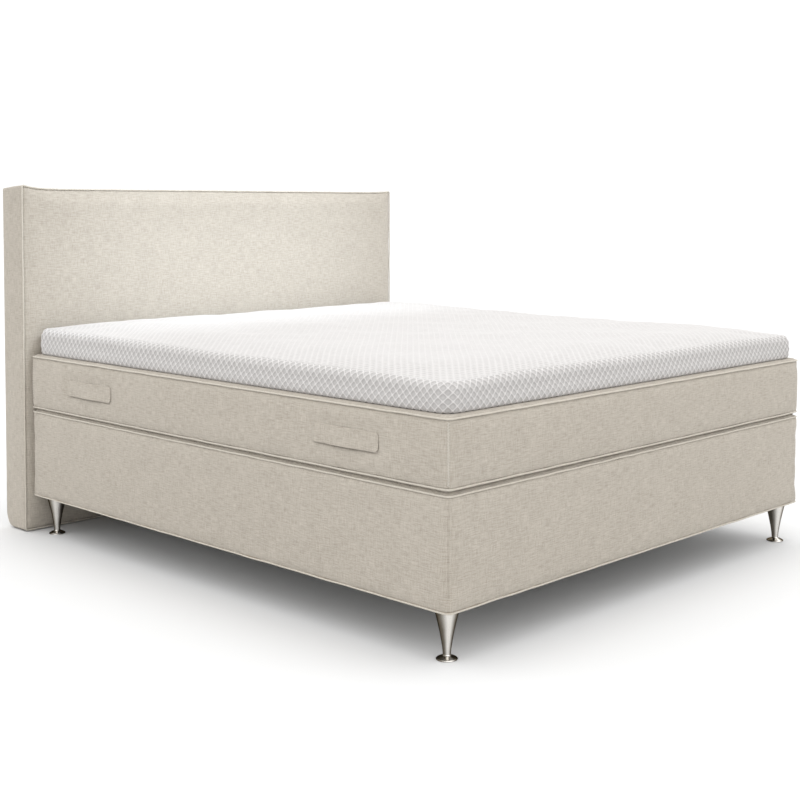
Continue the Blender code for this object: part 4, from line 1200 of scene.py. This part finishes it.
def dust_cover():
    """Thin cloth stapled under the base, sagging a little between the rails."""
    x, y, _, _, edge = bed_grid(0.004, 0.025)
    across = np.abs(np.sin(math.pi * x / (HALF_WIDTH - INNER_INSET)))
    sag = 0.0030 * across * np.sin(math.pi * np.clip((y + HALF_LENGTH) / (2 * HALF_LENGTH), 0, 1))
    ripple = 0.0005 * waves(x, y, 0.20, 301) * swell(edge, 0.1)
    low = 0.1332 - np.maximum(sag + ripple, 0) * 0.6 + 0.0003
    piece = slab("base_dust_cloth", x, y + BED_Y, low, low + 0.0008)
    finish_piece(piece, FELT, "root", "felt", "base_dust_cover")


dust_cover()

# Finishes of the CAD's own pieces, each by the first word that its name holds

CAD_FINISHES = (
    ("leg_centre", STEEL), ("bolt", STEEL), ("glide", FELT), ("spacer", FELT), ("felt", FELT),
    ("foam", FOAM), ("core", POCKET), ("spring", POCKET), ("", TIMBER),
)
for name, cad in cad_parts.items():
    if not cad.hide_render:
        cad.data.materials.clear()
        cad.data.materials.append(next(finish for word, finish in CAD_FINISHES if word in name))


# Floor, light and camera


def add_floor():
    x, y = np.meshgrid(*[np.linspace(-40.0, 40.0, 9)] * 2)
    points = np.stack([x, y, np.zeros_like(x)], axis=2).reshape(-1, 3)
    faces = grid_faces(*x.shape)[0]
    floor = mesh_object("studio_floor", points, [faces], [points[faces][:, :, :2]], smooth=False)
    pale = Finish("studio_floor", Roughness=0.9, Specular_IOR_Level=0.1, Base_Color=(0.70, 0.70, 0.70, 1))
    floor.data.materials.append(pale.material)


def add_light(name, place, target, size, power, colour, spread=180.0):
    """A soft rectangular lamp. A spread below 180 degrees is the grid on its front."""
    data = bpy.data.lights.new(name, "AREA")
    data.shape = "RECTANGLE"
    data.size, data.size_y = size
    data.energy = power
    data.color = colour
    data.spread = math.radians(spread)
    light = add_object(name, data)
    light.location = place
    light.rotation_euler = (Vector(target) - Vector(place)).to_track_quat("-Z", "Y").to_euler()


def add_world(horizon, overhead):
    """A white studio dome, brighter overhead than at the horizon."""
    world = bpy.data.worlds.new("studio")
    world.use_nodes = True
    dome = Nodes(world.node_tree)
    background = dome.tree.nodes["Background"]
    background.inputs[0].default_value = (1.0, 1.0, 1.0, 1.0)
    ways = dome.add("ShaderNodeTexCoord").outputs["Generated"]
    height = dome.add("ShaderNodeSeparateXYZ", Vector=ways).outputs[2]
    extra = dome.maths("MULTIPLY", dome.maths("MAXIMUM", height, 0.0), overhead - horizon)
    dome.tree.links.new(dome.maths("ADD", extra, horizon), background.inputs[1])
    bpy.context.scene.world = world


def add_camera():
    data = bpy.data.cameras.new("camera")
    data.sensor_width = 36.0
    data.lens = 59.592
    data.shift_y = -0.1699
    data.clip_start, data.clip_end = 0.05, 200.0
    camera = add_object("camera", data)
    camera.location = (-3.3297, -3.28355, 1.1626)
    camera.rotation_euler = (math.radians(87.5), 0.0, math.radians(-45.5998))
    bpy.context.scene.camera = camera


add_floor()
add_world(1.04, 1.90)
add_light("overhead_softbox", (0.35, -0.35, 5.6), (0.35, -0.35, 0.0), (1.7, 1.9), 36.0, (0.93, 0.97, 1.0))
add_light(
    "headboard_softbox", (0.0, -0.62, 2.05), (0.0, 0.93, 0.85), (1.65, 0.25), 4.1, (0.84, 0.93, 1.02),
    spread=42.0,
)
add_camera()
bpy.context.scene.view_settings.view_transform = "Standard"
